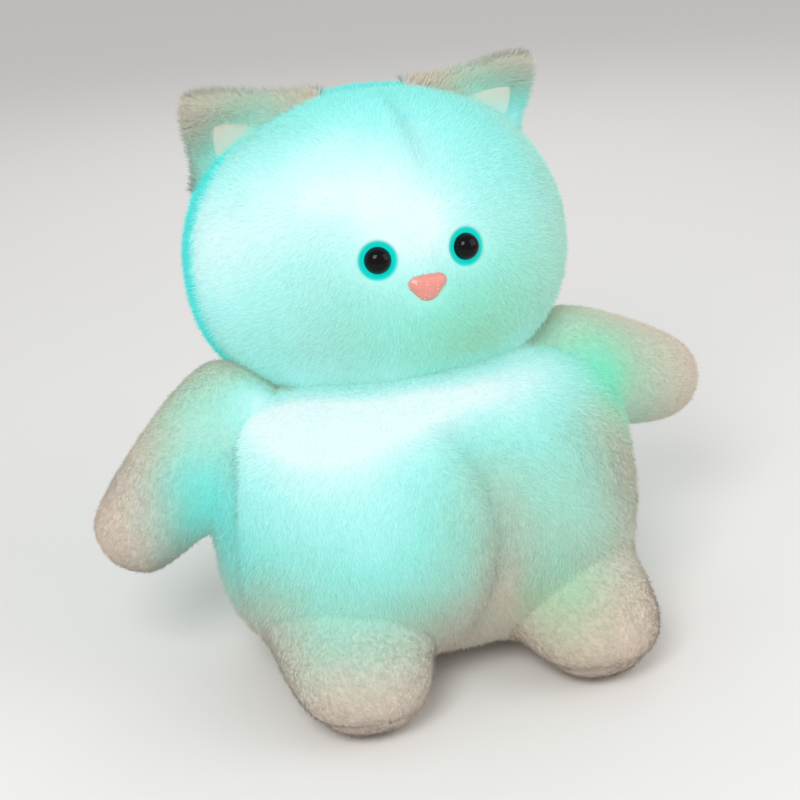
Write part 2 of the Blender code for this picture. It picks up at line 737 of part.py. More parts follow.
def shoulder_frame(side):
    """Frame at the shoulder, with +Z along the arm."""
    sign = SIDES[side]
    ring_share = sqrt(1 - SHOULDER_HEIGHT_SHARE**2)
    width_share = fuller(SHOULDER_HEIGHT_SHARE, CHEST_POWER) * sqrt(1 - (SHOULDER_DEPTH_SHARE / ring_share) ** 2)
    out = width_share * BODY_HALF_WIDTH + SHOULDER_STAND_OUT
    point = BODY_FRAME @ Vector((sign * out, SHOULDER_DEPTH_SHARE * BODY_HALF_DEPTH,
                                 SHOULDER_HEIGHT_SHARE * BODY_HALF_HEIGHT))
    drop, sweep = ARM_DROP[side], ARM_SWEEP[side]
    along = Vector((sign * cos(drop) * cos(sweep), -sin(sweep), -sin(drop) * cos(sweep)))
    return Matrix.Translation(point) @ along.to_track_quat("Z", "Y").to_matrix().to_4x4()


def build_arms(toy, body_space):
    """Two arms, each a plush skin over its filling, with a ball root in the socket."""
    for side in SIDES:
        frame = shoulder_frame(side)
        keep_root = hide(add(f"{side} body space", body_space.copy(), None, toy.cutters, BODY_FRAME))
        root = ball_mesh(ARM_ROOT_RADIUS + GAP)
        combine(keep_root, hide(add(f"{side} root space", root, None, toy.cutters, frame)))
        mesh = smooth_form(arm_shape, LIMB_CAGE)
        open_end = frame @ (-UP * ARM_ROOT_RADIUS * ARM_BLEND_SHARE)
        along = (frame.to_3x3() @ UP).normalized()
        trim(mesh, frame, open_end, -along)
        skin = add(f"arm_{side}", mesh, toy.paw, toy.pieces, frame)
        thicken(skin, PLUSH)
        combine(skin, keep_root)
        inner = -(PLUSH + LIMB_FILLING_EASE)
        mesh = smooth_form(lambda direction, swell: arm_shape(direction, swell, inner), LIMB_FILLING_CAGE)
        filling = add(f"arm_filling_{side}", mesh, toy.stuffing, toy.pieces, frame)
        combine(filling, keep_root)


def leg_frame(side):
    """Frame at the hip, with +Z along the leg and +Y upwards."""
    sign = SIDES[side]
    point = Vector((sign * HIP_SPREAD_SHARE * BODY_HALF_WIDTH, -HIP_SET_FORWARD, HIP_HEIGHT))
    along = Vector((sign * sin(LEG_SPLAY) * cos(LEG_DROP), -cos(LEG_SPLAY) * cos(LEG_DROP), -sin(LEG_DROP)))
    across = along.cross(-UP).normalized()
    upwards = along.cross(across)
    turn = Matrix((across, upwards, along)).transposed().to_4x4()
    return Matrix.Translation(point) @ turn


def build_legs(toy, body_space):
    """Two legs cut to the body, each with a skin, a filling and a padded sole."""
    reach = HIP_SET_FORWARD + LEG_LENGTH + FOOT_HALF_WIDTH
    slope = atan2(SOLE_FRONT_HEIGHT - SOLE_BACK_HEIGHT, reach)
    sole_normal = Vector((0, -sin(slope), -cos(slope)))
    sole_point = Vector((0, 0, SOLE_BACK_HEIGHT))
    below = beyond(toy, "below the sole seam", sole_point - sole_normal * SEAM / 2, sole_normal)
    above = beyond(toy, "above the sole seam", sole_point + sole_normal * SEAM / 2, -sole_normal)
    body_cutter = hide(add("body space", body_space.copy(), None, toy.cutters, BODY_FRAME))
    lift = sole_point - sole_normal * (SEAM + GAP)
    below_filling = beyond(toy, "below the leg filling", lift, sole_normal)
    for side in SIDES:
        frame = leg_frame(side)
        along = (frame.to_3x3() @ UP).normalized()
        mesh = smooth_form(leg_shape, LIMB_CAGE)
        trim(mesh, frame, frame @ (-UP * LEG_ROOT_HALF_WIDTH * LEG_BLEND_SHARE), -along)
        skin = add(f"leg_{side}", mesh, toy.paw, toy.pieces, frame)
        thicken(skin, PLUSH)
        combine(skin, body_cutter)
        combine(skin, below)
        mesh = smooth_form(leg_shape, LIMB_CAGE)
        trim(mesh, frame, Vector(), -UP, capped=True)
        sole = add(f"sole_{side}", mesh, toy.paw, toy.pieces, frame)
        combine(sole, above)
        combine(sole, body_cutter)
        inner = -(PLUSH + LIMB_FILLING_EASE)
        mesh = smooth_form(lambda direction, swell: leg_shape(direction, swell, inner), LIMB_FILLING_CAGE)
        filling = add(f"leg_filling_{side}", mesh, toy.stuffing, toy.pieces, frame)
        combine(filling, body_cutter)
        combine(filling, below_filling)


def build_tail(toy, body_space):
    """Short stuffed tail behind the seat, just clear of the floor."""
    radius = max(TAIL_ROOT_RADIUS, TAIL_TIP_RADIUS)
    point = Vector((0, BODY_HALF_DEPTH - radius, radius + TAIL_CLEARANCE))
    frame = Matrix.Translation(point) @ BACKWARDS.to_track_quat("Z", "Y").to_matrix().to_4x4()
    tail = add("tail", smooth_form(tail_shape, LIMB_CAGE), toy.panel, toy.pieces, frame)
    combine(tail, hide(add("tail body space", body_space.copy(), None, toy.cutters, BODY_FRAME)))


# Back zip


def back_point(height_share):
    """Point of the body's back on the middle line, at a share of its half-height."""
    depth_share = sqrt(1 - height_share**2)
    return BODY_FRAME @ body_shape((0, depth_share, height_share))


def circle_through(first, second, third):
    """Centre and radius, in the plane x = 0, of the circle through three points."""
    (a, b), (c, d), (e, f) = ((point.y, point.z) for point in (first, second, third))
    area = 2 * (a * (d - f) + c * (f - b) + e * (b - d))
    first_square, second_square, third_square = a * a + b * b, c * c + d * d, e * e + f * f
    y = (first_square * (d - f) + second_square * (f - b) + third_square * (b - d)) / area
    z = (first_square * (e - c) + second_square * (a - e) + third_square * (c - a)) / area
    centre = Vector((0, y, z))
    return centre, (first - centre).length


ZIP_MIDDLE_SHARE = (ZIP_TOP_SHARE + ZIP_BOTTOM_SHARE) / 2
ZIP_ENDS = back_point(ZIP_TOP_SHARE), back_point(ZIP_BOTTOM_SHARE)
ZIP_CENTRE, ZIP_RADIUS = circle_through(ZIP_ENDS[0], back_point(ZIP_MIDDLE_SHARE), ZIP_ENDS[1])
ZIP_TOP_ANGLE = atan2(ZIP_ENDS[0].z - ZIP_CENTRE.z, ZIP_ENDS[0].y - ZIP_CENTRE.y)
ZIP_BOTTOM_ANGLE = atan2(ZIP_ENDS[1].z - ZIP_CENTRE.z, ZIP_ENDS[1].y - ZIP_CENTRE.y)
ZIP_FRAME = Matrix.Translation(ZIP_CENTRE)
TAPE_OUTER = ZIP_RADIUS - TAPE_DEPTH
TAPE_INNER = TAPE_OUTER - TAPE_THICKNESS
TEETH_MIDDLE = (TAPE_OUTER + TAPE_INNER) / 2
TEETH_OUTER = TEETH_MIDDLE + TOOTH_THICKNESS / 2
TEETH_INNER = TEETH_MIDDLE - TOOTH_THICKNESS / 2


def arc_point(radius, angle, x=0.0):
    """Point on the zip's arc, about its centre."""
    return Vector((x, radius * cos(angle), radius * sin(angle)))


def band_mesh(low_x, high_x, inner, outer, bottom, top):
    """Band along the zip's arc: a rectangle swept between two angles."""
    steps = max(2, round((top - bottom) / ZIP_STEP))
    form = bmesh.new()
    corners = ((low_x, inner), (high_x, inner), (high_x, outer), (low_x, outer))
    rings = []
    for step in range(steps + 1):
        angle = bottom + (top - bottom) * step / steps
        rings.append([form.verts.new(arc_point(radius, angle, x)) for x, radius in corners])
    for ring, after in zip(rings, rings[1:]):
        for n in range(4):
            form.faces.new((ring[n], ring[n - 1], after[n - 1], after[n]))
    form.faces.new(rings[0])
    form.faces.new(rings[-1][::-1])
    bmesh.ops.recalc_face_normals(form, faces=form.faces)
    mesh = bpy.data.meshes.new("band")
    form.to_mesh(mesh)
    form.free()
    return mesh


def tooth_frame(angle):
    """Frame at an angle of the arc, with +Y outwards and +Z up the zip."""
    return Matrix.Rotation(angle, 4, "X")


def build_zip(toy):
    """Slot in the back, two toothed tapes, the slider and its pull."""
    end_room = OVERRUN / ZIP_RADIUS
    bottom, top = ZIP_BOTTOM_ANGLE, ZIP_TOP_ANGLE
    slot = band_mesh(-SLOT_HALF_WIDTH, SLOT_HALF_WIDTH, TAPE_INNER - OVERRUN,
                     ZIP_RADIUS + 2 * OVERRUN, bottom, top)
    toy.zip_slot = hide(add("zip slot", slot, None, toy.cutters, ZIP_FRAME))
    width = TAPE_HALF_WIDTH + GAP
    rebate = band_mesh(-width, width, TAPE_INNER - OVERRUN, TAPE_OUTER + GAP, bottom - end_room,
                       top + end_room)
    toy.zip_rebate = hide(add("zip rebate", rebate, None, toy.cutters, ZIP_FRAME))
    recess = band_mesh(-width, width, TEETH_INNER - SLIDER_PLATE, ZIP_RADIUS + OVERRUN,
                       bottom - end_room, top + end_room)
    toy.zip_recess = hide(add("zip recess", recess, None, toy.cutters, ZIP_FRAME))
    build_tapes(toy, bottom - end_room / 2, top + end_room / 2)
    build_slider(toy)


def build_tapes(toy, bottom, top):
    """Left and right tape, each with its own row of teeth; the rows mesh."""
    count = int((ZIP_TOP_ANGLE - ZIP_BOTTOM_ANGLE) * TEETH_MIDDLE / TEETH_PITCH)
    step = TEETH_PITCH / TEETH_MIDDLE
    for side, sign in SIDES.items():
        edges = sorted((sign * (TOOTH_REACH + GAP), sign * TAPE_HALF_WIDTH))
        mesh = band_mesh(*edges, TAPE_INNER, TAPE_OUTER, bottom, top)
        tape = add(f"zip_tape_{side}", mesh, toy.tape, toy.pieces, ZIP_FRAME)
        teeth = bmesh.new()
        for n in range(count):
            angle = ZIP_BOTTOM_ANGLE + step * (n + (0.25 if side == "left" else 0.75))
            low_x, high_x = sorted((-sign * TOOTH_REACH, sign * (TOOTH_REACH + TOOTH_ROOT)))
            block = box_mesh((low_x, TEETH_INNER, -TOOTH_LENGTH / 2),
                             (high_x, TEETH_OUTER, TOOTH_LENGTH / 2))
            block.transform(tooth_frame(angle))
            teeth.from_mesh(block)
            bpy.data.meshes.remove(block)
        row = bpy.data.meshes.new("teeth")
        teeth.to_mesh(row)
        teeth.free()
        combine(tape, hide(add(f"{side} teeth", row, None, toy.cutters, ZIP_FRAME)), "UNION")


def build_slider(toy):
    """Slider over the teeth at the top of its run, with a bail, and the hanging pull."""
    half_angle = SLIDER_LENGTH / 2 / ZIP_RADIUS
    centre = ZIP_TOP_ANGLE - half_angle - GAP / ZIP_RADIUS
    low, high = centre - half_angle, centre + half_angle
    plate_inner = TEETH_OUTER + GAP
    plate_outer = plate_inner + SLIDER_PLATE
    mesh = band_mesh(-SLIDER_HALF_WIDTH, SLIDER_HALF_WIDTH, TAPE_OUTER + GAP, plate_outer, low, high)
    slider = add("zip_slider", mesh, toy.zip_metal, toy.pieces, ZIP_FRAME)
    track = SLIDER_HALF_WIDTH - SLIDER_RAIL
    mesh = band_mesh(-track, track, TAPE_INNER, plate_inner, low - half_angle, high + half_angle)
    combine(slider, hide(add("slider track", mesh, None, toy.cutters, ZIP_FRAME)))
    bail_half = half_angle * 2 / 3
    bail_top = plate_outer + BAIL_HEIGHT
    mesh = band_mesh(-BAIL_WIDTH / 2, BAIL_WIDTH / 2, plate_outer - SLIDER_PLATE / 2, bail_top,
                     centre - bail_half, centre + bail_half)
    combine(slider, hide(add("slider bail", mesh, None, toy.cutters, ZIP_FRAME)), "UNION")
    eye_half = bail_half - BAIL_WIDTH / 2 / ZIP_RADIUS
    mesh = band_mesh(-BAIL_WIDTH, BAIL_WIDTH, plate_outer, bail_top - BAIL_WIDTH / 2,
                     centre - eye_half, centre + eye_half)
    combine(slider, hide(add("bail eye", mesh, None, toy.cutters, ZIP_FRAME)))
    build_pull(toy, centre - eye_half, plate_outer)


def build_pull(toy, angle, plate_outer):
    """Pull that hangs from a pin through the bail, down along the zip."""
    pin_radius = plate_outer + GAP + PULL_PIN_RADIUS
    pin_angle = angle + (PULL_PIN_RADIUS + GAP) / ZIP_RADIUS
    pin = ZIP_CENTRE + arc_point(pin_radius, pin_angle)
    frame = Matrix.Translation(pin) @ tooth_frame(pin_angle + PULL_TILT)
    half = PULL_WIDTH / 2
    low, high = -PULL_PIN_RADIUS, PULL_THICKNESS - PULL_PIN_RADIUS
    mesh = box_mesh((-half, low, -PULL_LENGTH), (half, high, PULL_PIN_RADIUS))
    pull = add("zip_pull", mesh, toy.zip_metal, toy.pieces, frame)
    clear = BAIL_WIDTH / 2 + GAP
    bail_reach = (SLIDER_LENGTH / 2) + OVERRUN / 2
    room = box_mesh((-clear, -OVERRUN, -bail_reach / 2), (clear, OVERRUN, -PULL_PIN_RADIUS))
    combine(pull, hide(add("pull window", room, None, toy.cutters, frame)))


# Light module behind the zip


CELL_PITCH = 2 * (CELL_RADIUS + CELL_CLEARANCE)
BAY_HALF_WIDTH = CELL_COUNT * CELL_PITCH / 2
BAY_LENGTH = CELL_LENGTH + CELL_NUB_HEIGHT + SPRING_FREE_LENGTH + 2 * CONTACT_THICKNESS + 2 * GAP
BAY_DEPTH = CELL_PITCH
CASE_HALF_WIDTH = BAY_HALF_WIDTH + CASE_WALL
CASE_LENGTH = BAY_LENGTH + BOARD_BAY + 3 * CASE_WALL
CASE_DEPTH = BAY_DEPTH + CASE_WALL
ZIP_MIDDLE_ANGLE = (ZIP_TOP_ANGLE + ZIP_BOTTOM_ANGLE) / 2


def case_frame():
    """Frame at the middle of the case's open face, with +Y out and +Z up."""
    lid_outer = TEETH_INNER * cos((ZIP_TOP_ANGLE - ZIP_BOTTOM_ANGLE) / 2) - CASE_TO_ZIP
    face = lid_outer - LID_THICKNESS
    middle = Matrix.Translation(ZIP_CENTRE) @ tooth_frame(ZIP_MIDDLE_ANGLE)
    return middle @ Matrix.Translation((0, face, -CASE_DROP))


def build_module(toy):
    """Battery case with its cells, contacts, switch and lid, in a cloth pouch."""
    frame = case_frame()
    half_length = CASE_LENGTH / 2
    build_case(toy, frame, half_length)
    build_cells(toy, frame, half_length)
    build_switch(toy, frame, half_length)
    build_pouch(toy, frame, half_length)


def build_case(toy, frame, half_length):
    """Tray with a battery bay and a board bay, and its lid held by one screw."""
    mesh = box_mesh((-CASE_HALF_WIDTH, -CASE_DEPTH, -half_length), (CASE_HALF_WIDTH, 0, half_length))
    tray = add("battery_case", mesh, toy.case, toy.pieces, frame)
    bay_low = -half_length + CASE_WALL
    bay_high = bay_low + BAY_LENGTH
    bays = (("battery bay", bay_low, bay_high), ("board bay", bay_high + CASE_WALL, half_length - CASE_WALL))
    for name, low, high in bays:
        room = box_mesh((-BAY_HALF_WIDTH, -BAY_DEPTH, low), (BAY_HALF_WIDTH, OVERRUN, high))
        combine(tray, hide(add(name, room, None, toy.cutters, frame)))
    lid_mesh = box_mesh((-CASE_HALF_WIDTH, GAP, -half_length), (CASE_HALF_WIDTH, LID_THICKNESS, half_length))
    lid = add("battery_lid", lid_mesh, toy.case, toy.pieces, frame)
    build_screw(toy, tray, lid, frame, half_length)
    button_hole = round_mesh(BUTTON_RADIUS + GAP, -OVERRUN, OVERRUN)
    combine(lid, hide(add("button hole", button_hole, None, toy.cutters, button_frame(frame, half_length))))


def screw_frame(frame, half_length):
    """Frame under the screw's head, with +Z out of the lid."""
    boss = SCREW_HEAD_RADIUS + CASE_WALL
    x = BAY_HALF_WIDTH - boss
    z = half_length - CASE_WALL - boss
    return frame @ Matrix.Translation((x, LID_THICKNESS, z)) @ Matrix.Rotation(-pi / 2, 4, "X")


def build_screw(toy, tray, lid, frame, half_length):
    """Slotted screw through the lid into a boss of the tray."""
    place = screw_frame(frame, half_length)
    profile = [(0, SCREW_HEAD_HEIGHT), (SCREW_HEAD_RADIUS * 3 / 4, SCREW_HEAD_HEIGHT),
               (SCREW_HEAD_RADIUS, SCREW_HEAD_HEIGHT / 2), (SCREW_HEAD_RADIUS, GAP),
               (SCREW_SHANK_RADIUS, GAP), (SCREW_SHANK_RADIUS, -SCREW_SHANK_LENGTH),
               (0, -SCREW_SHANK_LENGTH)]
    screw = add("lid_screw", turned_mesh(profile), toy.contact, toy.pieces, place)
    slot = box_mesh((-SCREW_HEAD_RADIUS * 2, -SCREW_SLOT_WIDTH / 2, SCREW_HEAD_HEIGHT - SCREW_SLOT_DEPTH),
                    (SCREW_HEAD_RADIUS * 2, SCREW_SLOT_WIDTH / 2, SCREW_HEAD_HEIGHT + OVERRUN))
    combine(screw, hide(add("screw slot", slot, None, toy.cutters, place)))
    boss = round_mesh(SCREW_HEAD_RADIUS, -LID_THICKNESS - BAY_DEPTH - CASE_WALL / 2, -LID_THICKNESS)
    combine(tray, hide(add("screw boss", boss, None, toy.cutters, place)), "UNION")
    hole = round_mesh(SCREW_SHANK_RADIUS + GAP, -SCREW_SHANK_LENGTH - GAP, OVERRUN)
    hole = hide(add("screw hole", hole, None, toy.cutters, place))
    combine(tray, hole)
    combine(lid, hole)


def build_cells(toy, frame, half_length):
    """Cells side by side, each between a spring below and a contact plate above."""
    floor = -half_length + CASE_WALL + GAP
    for n in range(CELL_COUNT):
        x = (n - (CELL_COUNT - 1) / 2) * CELL_PITCH
        bottom = floor + SPRING_FREE_LENGTH
        top = bottom + CELL_LENGTH
        place = frame @ Matrix.Translation((x, -BAY_DEPTH / 2, 0))
        nub = top + CELL_NUB_HEIGHT
        profile = [(0, nub), (CELL_NUB_RADIUS, nub), (CELL_NUB_RADIUS, top), (CELL_RADIUS, top),
                   (CELL_RADIUS, bottom), (0, bottom)]
        add(f"cell_{n + 1}", turned_mesh(profile), toy.cell, toy.pieces, place)
        plate = nub + GAP
        mesh = box_mesh((-CONTACT_HALF_WIDTH, -CONTACT_HALF_WIDTH, plate),
                        (CONTACT_HALF_WIDTH, CONTACT_HALF_WIDTH, plate + CONTACT_THICKNESS))
        add(f"contact_plate_{n + 1}", mesh, toy.contact, toy.pieces, place)
        base = floor + SPRING_WIRE_RADIUS
        rise = SPRING_FREE_LENGTH - 2 * SPRING_WIRE_RADIUS - GAP
        points = []
        per_turn = 8
        for step in range(SPRING_TURNS * per_turn + 1):
            share = step / (SPRING_TURNS * per_turn)
            radius = SPRING_RADIUS * (1 - share / 3)
            angle = tau * step / per_turn
            points.append((radius * cos(angle), radius * sin(angle), base + rise * share))
        add(f"contact_spring_{n + 1}", tube_mesh(points, SPRING_WIRE_RADIUS, 0), toy.contact,
            toy.pieces, place)


def button_frame(frame, half_length):
    """Frame on the lid's outer face at the button, with +Z out."""
    z = half_length - CASE_WALL - BOARD_BAY / 2
    return frame @ Matrix.Translation((0, LID_THICKNESS, z)) @ Matrix.Rotation(-pi / 2, 4, "X")


def build_switch(toy, frame, half_length):
    """Circuit board, its switch and the button that passes through the lid."""
    place = button_frame(frame, half_length)
    inside = -LID_THICKNESS
    rest = BUTTON_STAND_OUT
    flange_top = inside - GAP
    flange_low = flange_top - BUTTON_FLANGE_HEIGHT
    profile = [(0, rest), (BUTTON_RADIUS * 3 / 4, rest), (BUTTON_RADIUS, rest - BUTTON_FLANGE_HEIGHT / 2),
               (BUTTON_RADIUS, flange_top), (BUTTON_RADIUS + BUTTON_FLANGE, flange_top),
               (BUTTON_RADIUS + BUTTON_FLANGE, flange_low), (0, flange_low)]
    add("power_button", turned_mesh(profile), toy.button, toy.pieces, place)
    switch_top = flange_low - BUTTON_TRAVEL - GAP
    switch_low = switch_top - SWITCH_HEIGHT
    half = SWITCH_SIZE / 2
    mesh = box_mesh((-half, -half, switch_low), (half, half, switch_top))
    add("switch", mesh, toy.switch, toy.pieces, place)
    board_top = switch_low - GAP
    width = BAY_HALF_WIDTH - GAP
    length = BOARD_BAY / 2 - GAP
    board_low = board_top - BOARD_THICKNESS
    mesh = box_mesh((-width, -length, board_low), (width, length, board_top))
    board = add("circuit_board", mesh, toy.board, toy.pieces, place)
    boss = round_mesh(SCREW_HEAD_RADIUS + GAP, -CASE_DEPTH - OVERRUN, OVERRUN)
    combine(board, hide(add("board notch", boss, None, toy.cutters, screw_frame(frame, half_length))))


def build_pouch(toy, frame, half_length):
    """Cloth pouch round the case, open towards the zip, and its room in the filling."""
    clear = GAP + POUCH_CLOTH
    outer = (CASE_HALF_WIDTH + clear, CASE_DEPTH + clear, half_length + clear)
    mesh = box_mesh((-outer[0], -outer[1], -outer[2]), (outer[0], LID_THICKNESS, outer[2]))
    pouch = add("battery_pouch", mesh, toy.tape, toy.pieces, frame)
    room = box_mesh((-outer[0] + POUCH_CLOTH, -outer[1] + POUCH_CLOTH, -outer[2] + POUCH_CLOTH),
                    (outer[0] - POUCH_CLOTH, OVERRUN, outer[2] - POUCH_CLOTH))
    combine(pouch, hide(add("pouch inside", room, None, toy.cutters, frame)))
    outer = [value + GAP for value in outer]
    room = box_mesh((-outer[0], -outer[1], -outer[2]), (outer[0], BODY_HALF_DEPTH, outer[2]))
    toy.pouch_space = hide(add("pouch room", room, None, toy.cutters, frame))
    toy.pouch = pouch


# Lamps and leads


def lamp_frame(shares, frame, half_sizes):
    """Frame of a lamp inside a form, with +Z forwards."""
    place = Vector(share * half for share, half in zip(shares, half_sizes))
    return frame @ Matrix.Translation(place) @ Matrix.Rotation(pi / 2, 4, "X")


def build_lamp(toy, name, frame):
    """Round board, light chip and hollow dome. Returns the room it needs."""
    board = round_mesh(LAMP_RADIUS, -LAMP_BOARD_THICKNESS, 0)
    add(f"{name}_lamp_board", board, toy.board, toy.pieces, frame)
    half = CHIP_SIZE / 2
    chip = box_mesh((-half, -half, GAP), (half, half, GAP + CHIP_HEIGHT))
    add(f"{name}_lamp_chip", chip, toy.case, toy.pieces, frame)
    steps = 4
    angles = [pi / 2 * n / steps for n in range(steps + 1)]
    outer = [(LAMP_RADIUS * sin(a), GAP + LAMP_DOME_HEIGHT * cos(a)) for a in angles]
    radius, height = LAMP_RADIUS - LAMP_DOME_WALL, LAMP_DOME_HEIGHT - LAMP_DOME_WALL
    inner = [(radius * sin(a), GAP + height * cos(a)) for a in reversed(angles)]
    add(f"{name}_lamp_dome", turned_mesh(outer + inner), toy.diffuser, toy.pieces, frame)
    room = round_mesh(LAMP_RADIUS + GAP * 2, -LAMP_BOARD_THICKNESS - GAP, LAMP_DOME_HEIGHT + 2 * GAP)
    return hide(add(f"{name} lamp room", room, None, toy.cutters, frame))


def smooth_route(points, step):
    """Points at even steps of a smooth curve through a route's own points."""
    ends = [points[0] * 2 - points[1]] + points + [points[-1] * 2 - points[-2]]
    route = []
    for before, start, end, after in zip(ends, ends[1:], ends[2:], ends[3:]):
        count = max(1, round((end - start).length / step))
        for n in range(count):
            t = n / count
            route.append(((start * 2) + (end - before) * t
                          + (before * 2 - start * 5 + end * 4 - after) * t**2
                          + (start * 3 - before - end * 3 + after) * t**3) / 2)
    return route + [points[-1]]


def build_lead(toy, name, points):
    """Lead along a route, with the channel that the filling leaves for it."""
    route = smooth_route(points, LEAD_RADIUS * 5)
    add(f"lead_to_{name}_lamp", tube_mesh(route, LEAD_RADIUS, 2), toy.lead, toy.pieces)
    longer = [route[0] + (route[0] - route[1])] + route + [route[-1] + (route[-1] - route[-2])]
    channel = tube_mesh(longer, LEAD_RADIUS + 2 * GAP, 2)
    return hide(add(f"{name} lead channel", channel, None, toy.cutters))


def build_lights(toy):
    """Lamp in the body and lamp in the head, on one line of leads from the case."""
    body_lamp = lamp_frame(BODY_LAMP_SHARES, BODY_FRAME, BODY_HALF)
    head_lamp = lamp_frame(HEAD_LAMP_SHARES, HEAD_FRAME, HEAD_HALF)
    body_room = build_lamp(toy, "body", body_lamp)
    head_room = build_lamp(toy, "head", head_lamp)
    case = case_frame()
    back = -LAMP_BOARD_THICKNESS - 2 * GAP
    outlet = Vector((0, -CASE_DEPTH - GAP, CASE_LENGTH / 2 - CASE_WALL - BOARD_BAY / 2))
    hole = round_mesh(LEAD_RADIUS + GAP, -CASE_WALL - OVERRUN, OVERRUN)
    hole_frame = case @ Matrix.Translation(outlet) @ Matrix.Rotation(pi / 2, 4, "X")
    lead_hole = hide(add("lead hole", hole, None, toy.cutters, hole_frame))
    combine(toy.pouch, lead_hole)
    start = case @ outlet
    out = (case.to_3x3() @ -BACKWARDS) * LAMP_RADIUS
    lamp_side = Vector((LAMP_RADIUS / 2, 0, back))
    lamp_other = Vector((LAMP_RADIUS / 2, LAMP_RADIUS / 2, back))
    behind = Vector((0, 0, -LAMP_RADIUS))
    body_end = body_lamp @ lamp_side
    head_end = head_lamp @ Vector((0, 0, back))
    first = build_lead(toy, "body", [start, start + out, body_lamp @ (lamp_side + behind), body_end])
    second = build_lead(toy, "head", [body_lamp @ lamp_other, body_lamp @ (lamp_other + behind),
                                      NECK_POINT, head_lamp @ (behind + UP * back), head_end])
    toy.body_lamp_spaces = [body_room, first, second]
    toy.head_lamp_spaces = [head_room, second]


def main():
    """Build the toy, inner pieces first, so that the forms are cut to them."""
    for item in list(bpy.data.objects):
        bpy.data.objects.remove(item)
    toy = Toy()
    build_zip(toy)
    build_module(toy)
    build_lights(toy)
    toy.sockets = [build_socket(toy, side) for side in SIDES]
    build_body(toy)
    build_head(toy)
    build_ears(toy)
    body_space = smooth_form(lambda direction, swell: body_shape(direction, swell, GAP), BODY_CAGE)
    build_arms(toy, body_space)
    build_legs(toy, body_space)
    build_tail(toy, body_space)


main()
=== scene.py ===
"""Looks for a plush cat night light: short pile lit from inside, glossy eyes and nose.

Metres, +Z up, the toy's face towards -Y, its own left hand at +X.
"""

import json
import logging
import math
from dataclasses import dataclass, field, replace
from enum import Enum
from typing import Callable, Sequence

import bpy
import numpy as np
from mathutils import Matrix, Vector
from mathutils.bvhtree import BVHTree

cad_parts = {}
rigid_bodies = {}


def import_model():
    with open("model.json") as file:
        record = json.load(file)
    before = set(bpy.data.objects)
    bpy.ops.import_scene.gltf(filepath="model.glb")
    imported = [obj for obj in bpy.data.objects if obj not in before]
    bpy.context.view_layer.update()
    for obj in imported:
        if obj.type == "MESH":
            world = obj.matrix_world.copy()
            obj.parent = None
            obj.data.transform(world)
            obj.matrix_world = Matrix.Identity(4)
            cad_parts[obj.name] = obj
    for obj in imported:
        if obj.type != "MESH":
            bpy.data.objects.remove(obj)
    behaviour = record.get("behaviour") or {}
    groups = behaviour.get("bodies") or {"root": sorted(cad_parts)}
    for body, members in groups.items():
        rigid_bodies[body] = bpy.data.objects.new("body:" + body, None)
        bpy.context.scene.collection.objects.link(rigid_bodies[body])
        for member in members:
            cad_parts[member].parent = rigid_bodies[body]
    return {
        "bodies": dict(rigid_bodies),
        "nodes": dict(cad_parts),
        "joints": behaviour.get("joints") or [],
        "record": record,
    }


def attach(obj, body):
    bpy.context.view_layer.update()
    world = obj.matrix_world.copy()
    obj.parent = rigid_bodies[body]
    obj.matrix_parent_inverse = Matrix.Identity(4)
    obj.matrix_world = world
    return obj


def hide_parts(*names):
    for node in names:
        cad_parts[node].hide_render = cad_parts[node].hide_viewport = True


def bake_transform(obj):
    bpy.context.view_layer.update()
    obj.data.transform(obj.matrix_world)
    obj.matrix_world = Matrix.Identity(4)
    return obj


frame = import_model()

Array = np.ndarray
Piece = bpy.types.Object
Mesh = bpy.types.Mesh
Material = bpy.types.Material
Socket = bpy.types.NodeSocket
Tone = tuple[int, int, int]
Stops = Sequence[tuple[float, Tone]]

log = logging.getLogger("plush_cat")
TOY = "toy"
MM = 0.001


class Side(Enum):
    """The toy's own left and right."""

    LEFT = 1
    RIGHT = -1

    @property
    def word(self) -> str:
        """Name used in the nodes' names."""
        return self.name.lower()


# Vectors and frames


def unit(vectors: Array) -> Array:
    """Scale vectors, whose coordinates are on the last axis, to length one."""
    length = np.linalg.norm(vectors, axis=-1, keepdims=True)
    return vectors / np.maximum(length, 1e-12)


def smooth_step(value: Array) -> Array:
    """Ease from 0 to 1; values under 0 give 0 and those over 1 give 1."""
    share = np.clip(value, 0, 1)
    return share * share * (3 - 2 * share)


def turned(axis: str, angle: float) -> Array:
    """Rotation about X, Y or Z by an angle in radians, as a 4x4 array."""
    return np.array(Matrix.Rotation(angle, 4, axis))


def moved(point: Sequence[float]) -> Array:
    """Translation to a point as a 4x4 array."""
    return np.array(Matrix.Translation(Vector(point)))


def along(direction: Sequence[float]) -> Array:
    """Rotation that turns +Z to a direction, as a 4x4 array."""
    return np.array(Vector(direction).to_track_quat("Z", "Y").to_matrix().to_4x4())


def placed(matrix: Array, points: Array) -> Array:
    """Points, one a row, taken from a frame to the world."""
    return points @ matrix[:3, :3].T + matrix[:3, 3]


# Creases: sewn seams and folds


@dataclass(frozen=True)
class Crease:
    """A line pressed into the plush, as its points in the world.

    The pile is parted along it by the share `parting`, and `shade` darkens it.
    """

    points: Array
    width: float
    depth: float
    parting: float = 0.5
    shade: float = 0.3

    def closeness(self, places: Array) -> Array:
        """How near points lie to the line.

        Args:
            places: Points in the world, one a row.

        Returns:
            1 on the line, falling to 0 over the width.
        """
        nearest = np.full(len(places), 1e9)
        for start, end in zip(self.points, self.points[1:]):
            run = end - start
            share = np.clip((places - start) @ run / max(run @ run, 1e-12), 0, 1)
            gap = places - start - share[:, None] * run
            nearest = np.minimum(nearest, np.einsum("ij,ij->i", gap, gap))
        return np.exp(-nearest / self.width**2)


